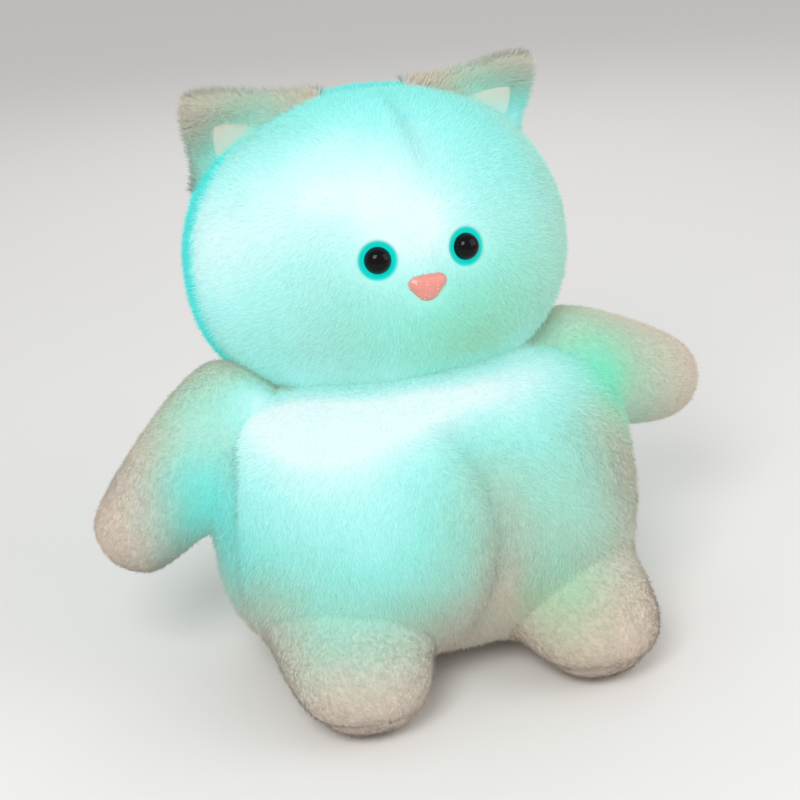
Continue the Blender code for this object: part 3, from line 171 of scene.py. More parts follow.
@dataclass(frozen=True)
class PlaneSeam(Crease):
    """A seam where a plane meets the plush: `points` holds the plane's point and its normal."""

    def closeness(self, places: Array) -> Array:
        """How near points in the world lie to the seam: 1 on it, falling to 0 over the width."""
        point, normal = self.points
        return np.exp(-(((places - point) @ normal) ** 2) / self.width**2)


# Light inside the toy


@dataclass(frozen=True)
class GlowSpot:
    """A place where the lamps inside light the plush, in millimetres.

    Its strength is below 0 where double cloth dims the light. Its hue is over 0 for cyan, under 0 for green.
    """

    at: tuple[float, float, float]
    reach: float
    strength: float
    hue: float = 0.0


def glow_spots(*rows: Sequence[float]) -> tuple[GlowSpot, ...]:
    """Spots from rows of x, y, z, reach, strength and, where it isn't 0, hue."""
    return tuple(GlowSpot(row[:3], *row[3:]) for row in rows)


HEAD_GLOW = glow_spots(
    (-36, -2, 224, 26, 0.40),
    (-76, 16, 202, 28, 0.32),
    (-2, -22, 203, 20, 0.44),
    (30, 2, 236, 30, 0.27, 0.7),
    (-5, 30, 252, 30, 0.21, 1.6),
    (12, -14, 158, 34, 0.06, -4.0),
    (22, -16, 145, 11, -0.10),
    (-90, 60, 190, 35, 0.38, 0.5),
    (0, 125, 195, 55, 0.38, 0.6),
    (-68, 8, 152, 25, 0.12, 0.3),
    (70, 95, 190, 40, 0.15),
    (50, -12, 192, 25, 0.12, -0.2),
    (-18, -14, 152, 22, 0.13),
    (-50, 8, 129, 13, 0.30, 0.4),
    (-16, -4, 127, 13, 0.30, 0.4),
    (20, -4, 127, 13, 0.30, 0.4),
    (54, 8, 130, 13, 0.25, 0.3),
)
FRONT_GLOW = glow_spots(
    (-70, -6, 131, 18, 0.46),
    (-40, -22, 132, 18, 0.36),
    (-8, -28, 132, 18, 0.55),
    (24, -28, 132, 18, 0.48),
    (54, -14, 132, 18, 0.43),
    (-66, -26, 116, 26, 0.52),
    (-30, -48, 110, 26, 0.26, 0.1),
    (-22, -46, 117, 14, 0.10),
    (36, -46, 112, 24, 0.37, 0.1),
    (-60, -58, 88, 28, 0.30, 0.25),
    (-26, -68, 78, 26, 0.27, 0.2),
    (-90, -34, 84, 16, 0.17, 0.3),
    (-66, -58, 50, 20, 0.17, 0.1),
    (22, -70, 60, 18, 0.09),
    (46, -62, 76, 22, 0.19),
    (72, -52, 60, 22, 0.09),
    (36, -72, 44, 14, 0.10, -1.5),
    (6, -60, 106, 7, -0.06),
    (10, -69, 90, 8, -0.08),
    (11, -73, 72, 8, -0.12),
    (8, -71, 54, 10, -0.12),
)
SIDE_GLOW = glow_spots(
    (-102, -8, 92, 16, 0.38, 0.7),
    (-101, -14, 62, 16, 0.20, 0.8),
    (84, 0, 122, 22, 0.32, -0.5),
    (88, -6, 112, 14, 0.18, -2.2),
    (-98, 10, 128, 18, 0.34, -0.2),
    (-109, -2, 104, 11, 0.10, 0.8),
    (126, 11, 104, 22, 0.09),
    (0, 70, 85, 55, 0.48, 0.4),
    (96, 22, 76, 22, 0.22),
    (-88, 34, 44, 24, 0.19),
    (88, 34, 44, 24, 0.12),
)
SHOULDER_GLOW = glow_spots((-71, 3, 132, 10, 0.55))
# The tail's glow: painted light that lifts the tail out of the body's shadow.
TAIL_GLOW = glow_spots((0, 62, 26, 16, 0.30))
PANEL_SHARE = 0.25  # of the front's light that passes behind the side seams
EAR_GLOW = glow_spots(
    (72, 60, 224, 14, 0.70, 0.4),
    (52, 54, 240, 12, 0.28),
    (-62, 58, 228, 13, 0.42, 0.3),
    (-50, 54, 244, 12, 0.22, 0.1),
    (-70, 62, 218, 10, 0.22, 0.4),
)


def dimmed(spots: Sequence[GlowSpot], share: float) -> tuple[GlowSpot, ...]:
    """Spots with a share of their strength."""
    return tuple(replace(spot, strength=spot.strength * share) for spot in spots)


def mixed(first: Array, second: Array, share: Array) -> Array:
    """Blend from the first values to the second."""
    return first * (1 - share) + second * share


def glow_at(points: Array, spots: Sequence[GlowSpot], floor: float) -> tuple[Array, Array]:
    """Light level and hue of the plush.

    Args:
        points: Points in the world, one a row.
        spots: The places that the lamps light.
        floor: Level away from them.

    Returns:
        The level from 0, unlit, to 1, white-hot, and the hue, below 0 for green and above 0 for cyan.
    """
    level = np.full(len(points), floor)
    tinted = np.zeros(len(points))
    for spot in spots:
        gap = points - np.array(spot.at) * MM
        share = spot.strength * np.exp(-np.einsum("ij,ij->i", gap, gap) / (2 * (spot.reach * MM) ** 2))
        level += share
        tinted += share * spot.hue
    return np.clip(level, 0, 1), tinted / np.maximum(level, 0.05)


# Finishes


def linear(*tone: int) -> tuple[float, ...]:
    """Linear colour of a tone, whose red, green and blue go from 0 to 255."""
    shares = (value / 255 for value in tone)
    return tuple(s / 12.92 if s <= 0.04045 else ((s + 0.055) / 1.055) ** 2.4 for s in shares)


class Nodes:
    """Short ways to build a material's node tree."""

    def __init__(self, name: str) -> None:
        """Start a material of that name with a Principled shader."""
        self.material = bpy.data.materials.new(name)
        self.material.use_nodes = True
        self.tree = self.material.node_tree
        self.shader = self.tree.nodes["Principled BSDF"]

    def add(self, kind: str, **values: object) -> bpy.types.Node:
        """Add a node.

        Args:
            kind: The node's type.
            values: Properties, or inputs by name with _ for a space.

        Returns:
            The node.
        """
        node = self.tree.nodes.new(kind)
        for key, value in values.items():
            if hasattr(node, key):
                setattr(node, key, value)
            else:
                node.inputs[key.replace("_", " ")].default_value = value
        return node

    def settle(self, **values: object) -> None:
        """Set the shader's inputs, by name with _ for a space."""
        for key, value in values.items():
            self.shader.inputs[key.replace("_", " ")].default_value = value

    def feed(self, name: str, source: Socket) -> None:
        """Drive one of the shader's inputs."""
        self.link(source, self.shader.inputs[name])

    def link(self, source: Socket, target: Socket) -> None:
        """Join two sockets."""
        self.tree.links.new(source, target)

    def attribute(self, name: str) -> Socket:
        """Number stored on the mesh's points."""
        return self.add("ShaderNodeAttribute", attribute_name=name).outputs["Fac"]

    def place(self) -> Socket:
        """Object coordinates."""
        return self.add("ShaderNodeTexCoord").outputs["Object"]

    def on_place(self, kind: str, **values: float) -> bpy.types.Node:
        """Add a texture on object coordinates."""
        node = self.add(kind, **values)
        self.link(self.place(), node.inputs["Vector"])
        return node

    def noise(self, scale: float, detail: float = 2.0) -> Socket:
        """Noise of so many features a metre."""
        return self.on_place("ShaderNodeTexNoise", Scale=scale, Detail=detail).outputs["Fac"]

    def math(self, operation: str, *inputs: object) -> Socket:
        """Arithmetic on sockets and numbers.

        Args:
            operation: The Math node's operation.
            inputs: Sockets or numbers.

        Returns:
            The result.
        """
        node = self.add("ShaderNodeMath", operation=operation)
        for slot, value in zip(node.inputs, inputs):
            if isinstance(value, Socket):
                self.link(value, slot)
            else:
                slot.default_value = value
        return node.outputs[0]

    def ramp(self, value: Socket, stops: Stops) -> Socket:
        """Colour ramp.

        Args:
            value: Where on the ramp.
            stops: Position and tone of each stop.

        Returns:
            The colour.
        """
        node = self.add("ShaderNodeValToRGB")
        elements = node.color_ramp.elements
        while len(elements) < len(stops):
            elements.new(0.5)
        for element, (position, tone) in zip(elements, stops):
            element.position = position
            element.color = (*linear(*tone), 1)
        self.link(value, node.inputs["Fac"])
        return node.outputs["Color"]

    def mix(self, share: object, first: object, second: object, blend: str = "MIX") -> Socket:
        """Mix two colours.

        Args:
            share: Socket or number from 0 to 1.
            first: Socket or linear colour.
            second: Socket or linear colour.
            blend: The blend mode.

        Returns:
            The colour.
        """
        node = self.add("ShaderNodeMix", data_type="RGBA", blend_type=blend)
        for slot, value in zip((node.inputs[0], node.inputs[6], node.inputs[7]), (share, first, second)):
            if isinstance(value, Socket):
                self.link(value, slot)
            else:
                slot.default_value = value if isinstance(value, (int, float)) else (*value, 1)
        return node.outputs[2]

    def bump(self, height: Socket, distance: float, strength: float = 1.0) -> None:
        """Bump on the shader's normal by a pattern whose 1 stands for a distance in metres."""
        node = self.add("ShaderNodeBump", Distance=distance, Strength=strength)
        self.link(height, node.inputs["Height"])
        self.feed("Normal", node.outputs["Normal"])


@dataclass(frozen=True)
class PlushFinish:
    """Short white pile that the lamps inside tint from beige, unlit, to white-hot.

    Of the tone, up to `glow_share` comes from within, and the rest from the cloth's own colour.
    """

    name: str = "plush"
    base_share: float = 1.0
    glow_share: float = 0.66
    root_shade: float = 0.92
    glow_gain: float = 1.05
    tip_gain: float = 0.20
    strand_spread: float = 0.09
    wobble: float = 0.10
    wobble_scale: float = 60
    # Teal of the ring round each eye, which glows in full from within: painted light.
    ring: Tone = (0, 226, 214)
    neutral: Stops = (
        (0.0, (228, 204, 189)), (0.12, (214, 209, 191)), (0.25, (194, 217, 196)), (0.42, (180, 231, 213)),
        (0.62, (176, 244, 235)), (0.8, (190, 250, 246)), (0.92, (210, 253, 251)), (1.0, (232, 255, 255)))
    cyan: Stops = (
        (0.0, (206, 202, 190)), (0.2, (158, 208, 200)), (0.42, (104, 226, 218)), (0.62, (60, 234, 226)),
        (0.8, (130, 250, 246)), (0.9, (190, 253, 252)), (1.0, (232, 255, 255)))
    green: Stops = (
        (0.0, (216, 202, 180)), (0.2, (186, 210, 172)), (0.42, (142, 228, 184)), (0.62, (112, 240, 198)),
        (0.8, (136, 249, 222)), (0.9, (190, 253, 242)), (1.0, (232, 255, 252)))

    def tone(self, nodes: Nodes, level: Socket, ring: Socket) -> Socket:
        """Tone of the pile by the light's level and hue.

        Args:
            nodes: The material's nodes.
            level: The light's level.
            ring: Share of the teal ring round an eye.

        Returns:
            The tone.
        """
        hue = nodes.attribute("hue")
        tone = nodes.ramp(level, self.neutral)
        tone = nodes.mix(nodes.math("MAXIMUM", hue, 0.0), tone, nodes.ramp(level, self.cyan))
        away = nodes.math("MINIMUM", nodes.math("MAXIMUM", nodes.math("MULTIPLY", hue, -1.0), 0.0), 1.0)
        tone = nodes.mix(away, tone, nodes.ramp(level, self.green))
        return nodes.mix(ring, tone, linear(*self.ring))

    def build(self) -> Material:
        """Make the material."""
        nodes = Nodes(self.name)
        noise = nodes.noise(self.wobble_scale, 3)
        wobble = nodes.math("MULTIPLY_ADD", noise, self.wobble, -self.wobble / 2)
        level = nodes.math("ADD", nodes.attribute("glow"), wobble)
        ring = nodes.attribute("ring")
        # The strands are darker at their roots and lighter at their tips: painted shade in the pile.
        gain = nodes.math("MULTIPLY_ADD", nodes.attribute("tip"), self.tip_gain, self.root_shade)
        gain = nodes.math("MULTIPLY_ADD", nodes.attribute("strand"), self.strand_spread, gain)
        # Painted shade along the seams and folds.
        gain = nodes.math("SUBTRACT", gain, nodes.attribute("crease"))
        shaded = nodes.mix(1.0, self.tone(nodes, level, ring), gain, "MULTIPLY")
        # The teal ring round each eye glows at the full share from within: painted light that keeps it
        # bright in the dimple's shade.
        within = nodes.math("MINIMUM", nodes.math("MAXIMUM", level, ring), 1.0)
        inner = nodes.math("MULTIPLY", within, self.glow_share)
        outer = nodes.math("SUBTRACT", self.base_share, inner)
        nodes.feed("Base Color", nodes.mix(1.0, shaded, outer, "MULTIPLY"))
        nodes.feed("Emission Color", nodes.mix(1.0, shaded, inner, "MULTIPLY"))
        nodes.settle(Emission_Strength=self.glow_gain, Roughness=0.9, Specular_IOR_Level=0.1,
                     Sheen_Weight=0.15)
        return nodes.material


@dataclass(frozen=True)
class LiningFinish:
    """Smooth satin of the ears' linings, lit at their roots."""

    name: str = "ear_lining"
    base_share: float = 0.72
    glow_share: float = 0.30
    stops: Stops = ((0.08, (216, 186, 172)), (0.42, (200, 210, 195)), (0.85, (192, 248, 240)))

    def build(self) -> Material:
        """Make the material."""
        nodes = Nodes(self.name)
        tone = nodes.ramp(nodes.attribute("glow"), self.stops)
        for name, share in (("Base Color", self.base_share), ("Emission Color", self.glow_share)):
            nodes.feed(name, nodes.mix(1.0, tone, (share,) * 3, "MULTIPLY"))
        nodes.settle(Emission_Strength=1.0, Roughness=0.55)
        nodes.bump(nodes.noise(900, 2), 0.0003, 0.3)
        return nodes.material


# Modelling by hand


def deselect() -> None:
    """Deselect every object."""
    bpy.ops.object.select_all(action="DESELECT")


def taken(name: str) -> Piece:
    """Name the active object, apply its place to its mesh and return it."""
    piece = bpy.context.active_object
    piece.name = name
    piece.data.name = name
    bpy.ops.object.transform_apply(location=True, rotation=True, scale=True)
    return piece


def ball(name: str, segments: int, rings: int) -> Piece:
    """Add a smooth unit sphere, the start of every round piece."""
    deselect()
    bpy.ops.mesh.primitive_uv_sphere_add(segments=segments, ring_count=rings, radius=1)
    piece = taken(name)
    bpy.ops.object.shade_smooth()
    return piece


def column(items: bpy.types.bpy_prop_collection, name: str, width: int = 1,
           kind: type = np.float32) -> Array:
    """One property of a mesh's items as an array.

    Args:
        items: Points, triangles or an attribute's data.
        name: The property.
        width: Numbers an item.
        kind: Their type.

    Returns:
        The numbers, one row an item where the width is over 1.
    """
    flat = np.empty(len(items) * width, kind)
    items.foreach_get(name, flat)
    return flat.reshape(-1, width) if width > 1 else flat


def points_of(mesh: Mesh) -> Array:
    """A mesh's points as an array."""
    return column(mesh.vertices, "co", 3, np.float64)


def set_points(mesh: Mesh, points: Array) -> None:
    """Move a mesh's points to new places, one a row."""
    mesh.vertices.foreach_set("co", points.astype(np.float32).ravel())
    mesh.update()


def store(mesh: Mesh, name: str, values: Array) -> None:
    """Keep a number on each point of a mesh, as an attribute of that name."""
    attribute = mesh.attributes.get(name) or mesh.attributes.new(name, "FLOAT", "POINT")
    attribute.data.foreach_set("value", values.astype(np.float32))


def dress(piece: Piece, material: Material) -> None:
    """Give a piece one material."""
    piece.data.materials.clear()
    piece.data.materials.append(material)


def stand_in(piece: Piece, material: Material, node: str) -> None:
    """Dress a piece, let it stand for its node and set it on the toy."""
    dress(piece, material)
    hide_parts(node)
    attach(piece, TOY)
    log.info("%s: %d faces", piece.name, len(piece.data.polygons))


def surface_of(mesh: Mesh) -> BVHTree:
    """A mesh's surface, for finding the nearest point on it."""
    faces = [tuple(polygon.vertices) for polygon in mesh.polygons]
    return BVHTree.FromPolygons([tuple(point) for point in points_of(mesh)], faces)


# Stuffed forms

SIDE_SEAM = np.array([(-76, 19, 136), (-80, 12, 131), (-85, 2, 120), (-93, -14, 109), (-97, -19, 92),
                      (-99, -20, 69), (-97, -20, 45), (-90, -21, 30), (-80, -21, 16)]) * MM
ZIP_CENTRE = (0.0, -0.0096, 0.0603)
ZIP_RADIUS = 0.08581
ZIP_ANGLES = (-0.24058, 0.42545)
LUMP_SIZE = 0.055
LUMP_HEIGHT = 0.0007
SWELL_SHARE = 0.25
GROUND_GAP = 0.0004


@dataclass
class Form:
    """A stuffed form, whose surface maps directions to points in its own frame."""

    name: str = "form"
    nodes: tuple[str, ...] = ()
    place: Array = field(default_factory=lambda: np.eye(4))
    creases: list[Crease] = field(default_factory=list)
    segments: int = 256
    rings: int = 128
    pile: float = 0.0040
    density: float = 2.0
    lean: float = 0.64
    strand_radius: float = 0.00023
    slot: str = "white_plush"
    inset: float = 0.0020
    glow: tuple[GlowSpot, ...] = ()
    glow_floor: float = 0.03

    def surface(self, directions: Array) -> Array:
        """Points of the surface in the form's frame."""
        raise NotImplementedError

    def inside(self, points: Array, margin: float) -> Array:
        """Whether points in the world lie deeper than a margin in the form."""
        raise NotImplementedError

    def nap(self, points: Array) -> Array:
        """Direction in which the pile lies, in the world."""
        return np.tile((0.0, 0.0, -1.0), (len(points), 1))

    def local(self, points: Array) -> Array:
        """Points of the world in the form's frame."""
        return placed(np.linalg.inv(self.place), points)

    def lumps(self, points: Array) -> Array:
        """Soft unevenness of the stuffing, in metres along the normal."""
        x, y, z = (points / LUMP_SIZE).T
        broad = np.sin(2.1 * x + 1.3 * z + 0.4) * np.cos(1.7 * y - 0.9 * z)
        return LUMP_HEIGHT * (broad + 0.6 * np.sin(3.3 * z - 2.2 * x + 1.9))

    def skin(self) -> Piece:
        """Model the form's closed skin, before it is stuffed and sewn on."""
        piece = ball(f"{self.name}_skin", self.segments, self.rings)
        directions = unit(points_of(piece.data))
        set_points(piece.data, placed(self.place, self.surface(directions)))
        return piece

    def fillet(self, points: Array, neighbours: Sequence[tuple[BVHTree, float]]) -> Array:
        """How far the plush swells where it is sewn to its neighbours.

        Args:
            points: Points of the skin.
            neighbours: Each neighbour's surface and how far from it the swell reaches.

        Returns:
            Metres along the normal.
        """
        swell = np.zeros(len(points))
        for surface, reach in neighbours:
            for index, point in enumerate(points):
                gap = surface.find_nearest(point, reach)[3]
                if gap is not None:
                    swell[index] = max(swell[index], (1 - gap / reach) ** 2 * reach * SWELL_SHARE)
        return swell

    def press(self, piece: Piece, neighbours: Sequence[tuple[BVHTree, float]]) -> None:
        """Press the creases in and add the stuffing's lumps and the swell at the sewn joints.

        Args:
            piece: The skin.
            neighbours: Each neighbour's surface and how far from it the swell reaches.
        """
        mesh = piece.data
        points = points_of(mesh)
        normals = column(mesh.vertices, "normal", 3)
        shift = self.lumps(points) + self.fillet(points, neighbours)
        parting = np.zeros(len(points))
        shade = np.zeros(len(points))
        for crease in self.creases:
            near = crease.closeness(points)
            shift -= crease.depth * near
            parting = np.maximum(parting, near * crease.parting)
            shade = np.maximum(shade, near * crease.shade)
        pressed = points + normals * shift[:, None]
        pressed[:, 2] = np.maximum(pressed[:, 2], GROUND_GAP)
        set_points(mesh, pressed)
        store(mesh, "parting", parting)
        # The creases' painted shade, kept as `crease`.
        store(mesh, "crease", shade)
        self.light(mesh)

    def lit(self, points: Array) -> tuple[Array, Array]:
        """The light's level and hue at points."""
        return glow_at(points, self.glow, self.glow_floor)

    def light(self, mesh: Mesh) -> None:
        """Keep the light's level and hue on a mesh's points."""
        points = points_of(mesh)
        for name, values in zip(("glow", "hue", "ring"), (*self.lit(points), self.ring(points))):
            store(mesh, name, values)

    def ring(self, points: Array) -> Array:
        """Share of the teal ring round an eye."""
        return np.zeros(len(points))

    def bare(self, points: Array) -> Array:
        """Share of the pile that is missing at points."""
        return np.zeros(len(points))

    def trimmed(self, points: Array) -> Array:
        """Share of their length that the strands have at points."""
        return np.ones(len(points))


def fuller(height: Array, power: float) -> Array:
    """Half-width at a height, both as shares, of a side that is fuller than a circle at powers over 2."""
    return np.maximum(1 - np.abs(np.clip(height, -1, 1)) ** power, 0) ** (1 / power)


@dataclass
class Egg(Form):
    """An ellipsoid whose level rings are drawn wider or deeper at some heights."""

    half: tuple[float, float, float] = (0.1, 0.1, 0.1)

    def limits(self, z: Array, y: Array) -> tuple[Array, Array]:
        """Half-widths across X and Y at a height, as shares of the half sizes."""
        raise NotImplementedError

    def surface(self, directions: Array) -> Array:
        """Points of the surface in the form's frame."""
        x, y, z = directions.T
        ring = np.maximum(np.hypot(x, y), 1e-9)
        wide, deep = self.limits(z, y)
        return np.stack((x / ring * wide, y / ring * deep, z), 1) * (np.array(self.half) - self.inset)

    def inside(self, points: Array, margin: float) -> Array:
        """Whether points in the world lie deeper than a margin in the form."""
        x, y, z = (self.local(points) / (np.array(self.half) - margin)).T
        wide, deep = self.limits(z, y)
        return (np.abs(z) < 1) & ((x / np.maximum(wide, 1e-6)) ** 2 + (y / np.maximum(deep, 1e-6)) ** 2 < 1)


@dataclass
class Head(Egg):
    """The head: wider than tall, with full cheeks, dimples for the eyes and a seat for the nose."""

    cheek_power: float = 2.4
    eye_at: tuple[tuple[float, float], ...] = ((0.0208, -0.0030), (-0.0208, -0.0030))
    nose_at: tuple[float, float] = (0.0, -0.0172)
    ring_radius: float = 0.0081
    ring_fade: float = 0.0016
    dimple_radius: float = 0.0060
    dimple_depth: float = 0.0020
    short_share: float = 0.45
    short_reach: float = 0.007
    parting_reach: float = 0.0125
    back_level: float = 0.66
    seam_share: float = -0.18

    def skin(self) -> Piece:
        """Model the head's closed skin, with finer faces round the eyes."""
        piece = super().skin()
        faces = piece.data.polygons
        bpy.ops.object.mode_set(mode="EDIT")
        bpy.ops.mesh.select_mode(type="FACE")
        bpy.ops.mesh.select_all(action="DESELECT")
        bpy.ops.object.mode_set(mode="OBJECT")
        gap = self.eye_gap(column(faces, "center", 3, np.float64))
        faces.foreach_set("select", gap < self.ring_radius + 0.005)
        bpy.ops.object.mode_set(mode="EDIT")
        bpy.ops.mesh.subdivide(number_cuts=3)
        bpy.ops.object.mode_set(mode="OBJECT")
        bpy.ops.object.shade_smooth()
        return piece

    def face_frame(self, at: tuple[float, float]) -> Array:
        """Frame in the world, +Z out of the face, at a place across and up the head's own frame."""
        half = np.array(self.half)
        x, z = at
        y = -half[1] * math.sqrt(1 - (x / half[0]) ** 2 - (z / half[2]) ** 2)
        normal = self.place[:3, :3] @ unit(np.array((x, y, z)) / half**2)
        return moved(placed(self.place, np.array([(x, y, z)]))[0]) @ along(normal)

    def eye_gap(self, points: Array) -> Array:
        """Distance of points from the nearer eye's middle, along the face."""
        front = self.local(points)[:, 1] < 0
        gaps = []
        for at in self.eye_at:
            x, y, _ = placed(np.linalg.inv(self.face_frame(at)), points).T
            gaps.append(np.where(front, np.hypot(x, y), 1.0))
        return np.minimum(*gaps)

    def nose_gap(self, points: Array) -> Array:
        """Distance of points from the nose's middle, 1 at its edge."""
        x, y, z = placed(np.linalg.inv(self.face_frame(self.nose_at)), points).T
        return np.where(np.abs(z) < 0.02, np.hypot(x / 0.0086, (y + 0.0006) / 0.0060), 9.0)

    def lumps(self, points: Array) -> Array:
        """Unevenness of the stuffing with the eyes' dimples, in metres along the normal."""
        dimple = 1 - smooth_step((self.eye_gap(points) - self.dimple_radius) / 0.0040)
        return super().lumps(points) - self.dimple_depth * dimple

    def ring(self, points: Array) -> Array:
        """Share of the teal ring round an eye."""
        return 1 - smooth_step((self.eye_gap(points) - self.ring_radius + 0.0002) / self.ring_fade)

    def bare(self, points: Array) -> Array:
        """Share of the pile that is missing at points: round the eyes and under the nose."""
        eyes = 1 - smooth_step((self.eye_gap(points) - self.ring_radius - 0.0002) / 0.0012)
        return np.maximum(eyes, self.nose_gap(points) < 0.95)

    def trimmed(self, points: Array) -> Array:
        """Share of their length that the strands have at points: short round the eyes and the nose."""
        grown = smooth_step((self.eye_gap(points) - self.ring_radius) / self.short_reach)
        eyes = self.short_share + (1 - self.short_share) * grown
        return eyes * (0.5 + 0.5 * smooth_step((self.nose_gap(points) - 1.0) / 0.7))

    def lit(self, points: Array) -> tuple[Array, Array]:
        """The light's level and hue at points, with the back panel's saturated cyan."""
        level, hue = super().lit(points)
        behind = self.local(points)[:, 1] - self.seam_share * self.half[1]
        share = smooth_step((behind - 0.001) / 0.006)
        return mixed(level, np.minimum(level, self.back_level), share), mixed(hue, np.ones_like(hue), share)

    def nap(self, points: Array) -> Array:
        """Direction in which the pile lies: away from between the eyes, and down."""
        middle = self.face_frame((0.0, 0.010))[:3, 3]
        way = unit(unit(points - middle) + np.array((0.0, 0.35, -0.35)))
        for at in self.eye_at:
            away = points - self.face_frame(at)[:3, 3]
            near = np.exp(-np.einsum("ij,ij->i", away, away) / self.parting_reach**2)
            way = unit(way + 3.0 * near[:, None] * unit(away))
        return way

    def limits(self, z: Array, y: Array) -> tuple[Array, Array]:
        """Half-widths across X and Y at a height, as shares of the half sizes."""
        wide = np.where(z < 0, fuller(z, self.cheek_power), fuller(z, 2))
        return wide, wide


@dataclass
class Body(Egg):
    """The body: full at the sides, and at the low back that it sits on."""

    chest_power: float = 3.5
    flank_power: float = 2.8
    seat_power: float = 4.0
    channel_half: float = 0.0054
    channel_depth: float = 0.0042
    bare_half: float = 0.0062

    def limits(self, z: Array, y: Array) -> tuple[Array, Array]:
        """Half-widths across X and Y at a height, as shares of the half sizes."""
        wide = np.where(z > 0, fuller(z, self.chest_power), fuller(z, self.flank_power))
        return wide, np.where((y > 0) & (z < 0), fuller(z, self.seat_power), fuller(z, 2))

    def lit(self, points: Array) -> tuple[Array, Array]:
        """The light's level and hue at points: behind the side seams less of the front's light passes."""
        level, hue = glow_at(points, FRONT_GLOW + SIDE_GLOW, self.glow_floor)
        dim_level, dim_hue = glow_at(points, dimmed(FRONT_GLOW, PANEL_SHARE) + SIDE_GLOW, self.glow_floor)
        y, z = SIDE_SEAM[::-1, 1:].T
        share = smooth_step((points[:, 1] - np.interp(points[:, 2], z, y)) / 0.003 + 0.5)
        return mixed(level, dim_level, share), mixed(hue, dim_hue, share)

    def zip_gap(self, points: Array) -> Array:
        """Distance of points from the zip's opening, in metres."""
        x, y, z = (points - np.array(ZIP_CENTRE)).T
        angle = np.arctan2(z, y)
        low, high = ZIP_ANGLES
        past = np.maximum(np.abs(angle - (low + high) / 2) - (high - low) / 2, 0) * ZIP_RADIUS
        return np.hypot(x, past)

    def lumps(self, points: Array) -> Array:
        """Unevenness of the stuffing with the zip's channel, in metres along the normal."""
        channel = 1 - smooth_step((self.zip_gap(points) - self.channel_half) / 0.0026)
        return super().lumps(points) - self.channel_depth * channel

    def bare(self, points: Array) -> Array:
        """Share of the pile that is missing at points: along the zip."""
        return 1 - smooth_step((self.zip_gap(points) - self.bare_half) / 0.0016)


@dataclass
class Grown(Form):
    """A form that grows along +Z of its frame, and whose pile lies that way."""

    def nap(self, points: Array) -> Array:
        """Direction in which the pile lies: from the root to the end."""
        return np.tile(self.place[:3, 2], (len(points), 1))


@dataclass
class Limb(Grown):
    """A round form that runs from a root into a rounded end."""

    length: float = 0.055
    root: tuple[float, float] = (0.0325, 0.0325)
    end: tuple[float, float] = (0.0245, 0.0245)
    reach: float = 0.7

    def sizes(self, share: Array) -> tuple[Array, Array]:
        """Half-width and half-height at a share of the length."""
        return tuple(a + (b - a) * share - self.inset for a, b in zip(self.root, self.end))

    def surface(self, directions: Array) -> Array:
        """Points of the surface in the form's frame."""
        x, y, z = directions.T
        share = smooth_step((z + self.reach) / (2 * self.reach))
        wide, high = self.sizes(share)
        return np.stack((x * wide, y * high, z * wide + self.length * share), 1)

    def inside(self, points: Array, margin: float) -> Array:
        """Whether points in the world lie deeper than a margin in the form."""
        x, y, z = self.local(points).T
        share = np.clip(z / self.length, 0, 1)
        wide, high = (size + self.inset - margin for size in self.sizes(share))
        return (x / wide) ** 2 + (y / high) ** 2 + ((z - share * self.length) / wide) ** 2 < 1


@dataclass
class Ear(Grown):
    """A flat cone with a rounded tip, wide across X."""

    half_width: float = 0.035
    half_thickness: float = 0.011
    height: float = 0.048
    taper: float = 0.70
    flare: float = 0.18
    lining_share: float = 0.58
    lining_root: float = 0.004
    lining_thickness: float = 0.0012

    def surface(self, directions: Array) -> Array:
        """Points of the surface in the form's frame."""
        x, y, z = directions.T
        ring = np.maximum(np.hypot(x, y), 1e-9)
        width = ((1 - np.clip(z, -1, 1)) / 2) ** self.taper
        flare = 1 + self.flare * smooth_step((0.3 - z) / 1.3)
        across = x / ring * width * flare * (self.half_width - self.inset)
        through = y / ring * np.sqrt(width) * (self.half_thickness - self.inset)
        return np.stack((across, through, (z + 1) / 2 * (self.height - self.inset)), 1)

    def inside(self, points: Array, margin: float) -> Array:
        """Whether points in the world lie deeper than a margin in the form."""
        x, y, z = self.local(points).T
        width = (np.clip(1 - z / self.height, 0, 1)) ** self.taper
        wide = np.maximum(width * self.half_width - margin, 1e-5)
        thick = np.maximum(np.sqrt(width) * self.half_thickness - margin, 1e-5)
        return (z > 0) & (z < self.height) & ((x / wide) ** 2 + (y / thick) ** 2 < 1)

    def front(self, x: Array, z: Array) -> Array:
        """Depth of the ear's front surface at a place across and up it."""
        width = np.clip(1 - z / self.height, 0.02, 1) ** self.taper
        share = np.clip(x / (width * (self.half_width - self.inset)), -0.98, 0.98)
        return -np.sqrt(1 - share**2) * np.sqrt(width) * (self.half_thickness - self.inset)

    def bare(self, points: Array) -> Array:
        """Share of the pile that is missing at points: on the lining."""
        x, y, z = self.local(points).T
        up = (z - self.lining_root) / (self.height * self.lining_share)
        width = np.clip(1 - up, 0, 1) ** self.taper * self.half_width * self.lining_share
        return ((y < 0) & (up > -0.2) & (np.abs(x) < width)).astype(float)

    def lining(self) -> Piece:
        """Model the smooth patch on the ear's front."""
        piece = ball(f"{self.name}_patch", 64, 32)
        x, y, z = unit(points_of(piece.data)).T
        ring = np.maximum(np.hypot(x, y), 1e-9)
        up = self.lining_root + (z + 1) / 2 * self.height * self.lining_share
        width = ((1 - np.clip(z, -1, 1)) / 2) ** self.taper * self.half_width * self.lining_share
        across = x / ring * width
        bulge = y / ring * self.lining_thickness * np.sqrt(np.maximum(width / self.half_width, 0))
        through = self.front(across, up) + bulge - 0.0004
        set_points(piece.data, placed(self.place, np.stack((across, through, up), 1)))
        return piece


# Pile

SHOWN = ("glow", "hue", "ring", "crease")


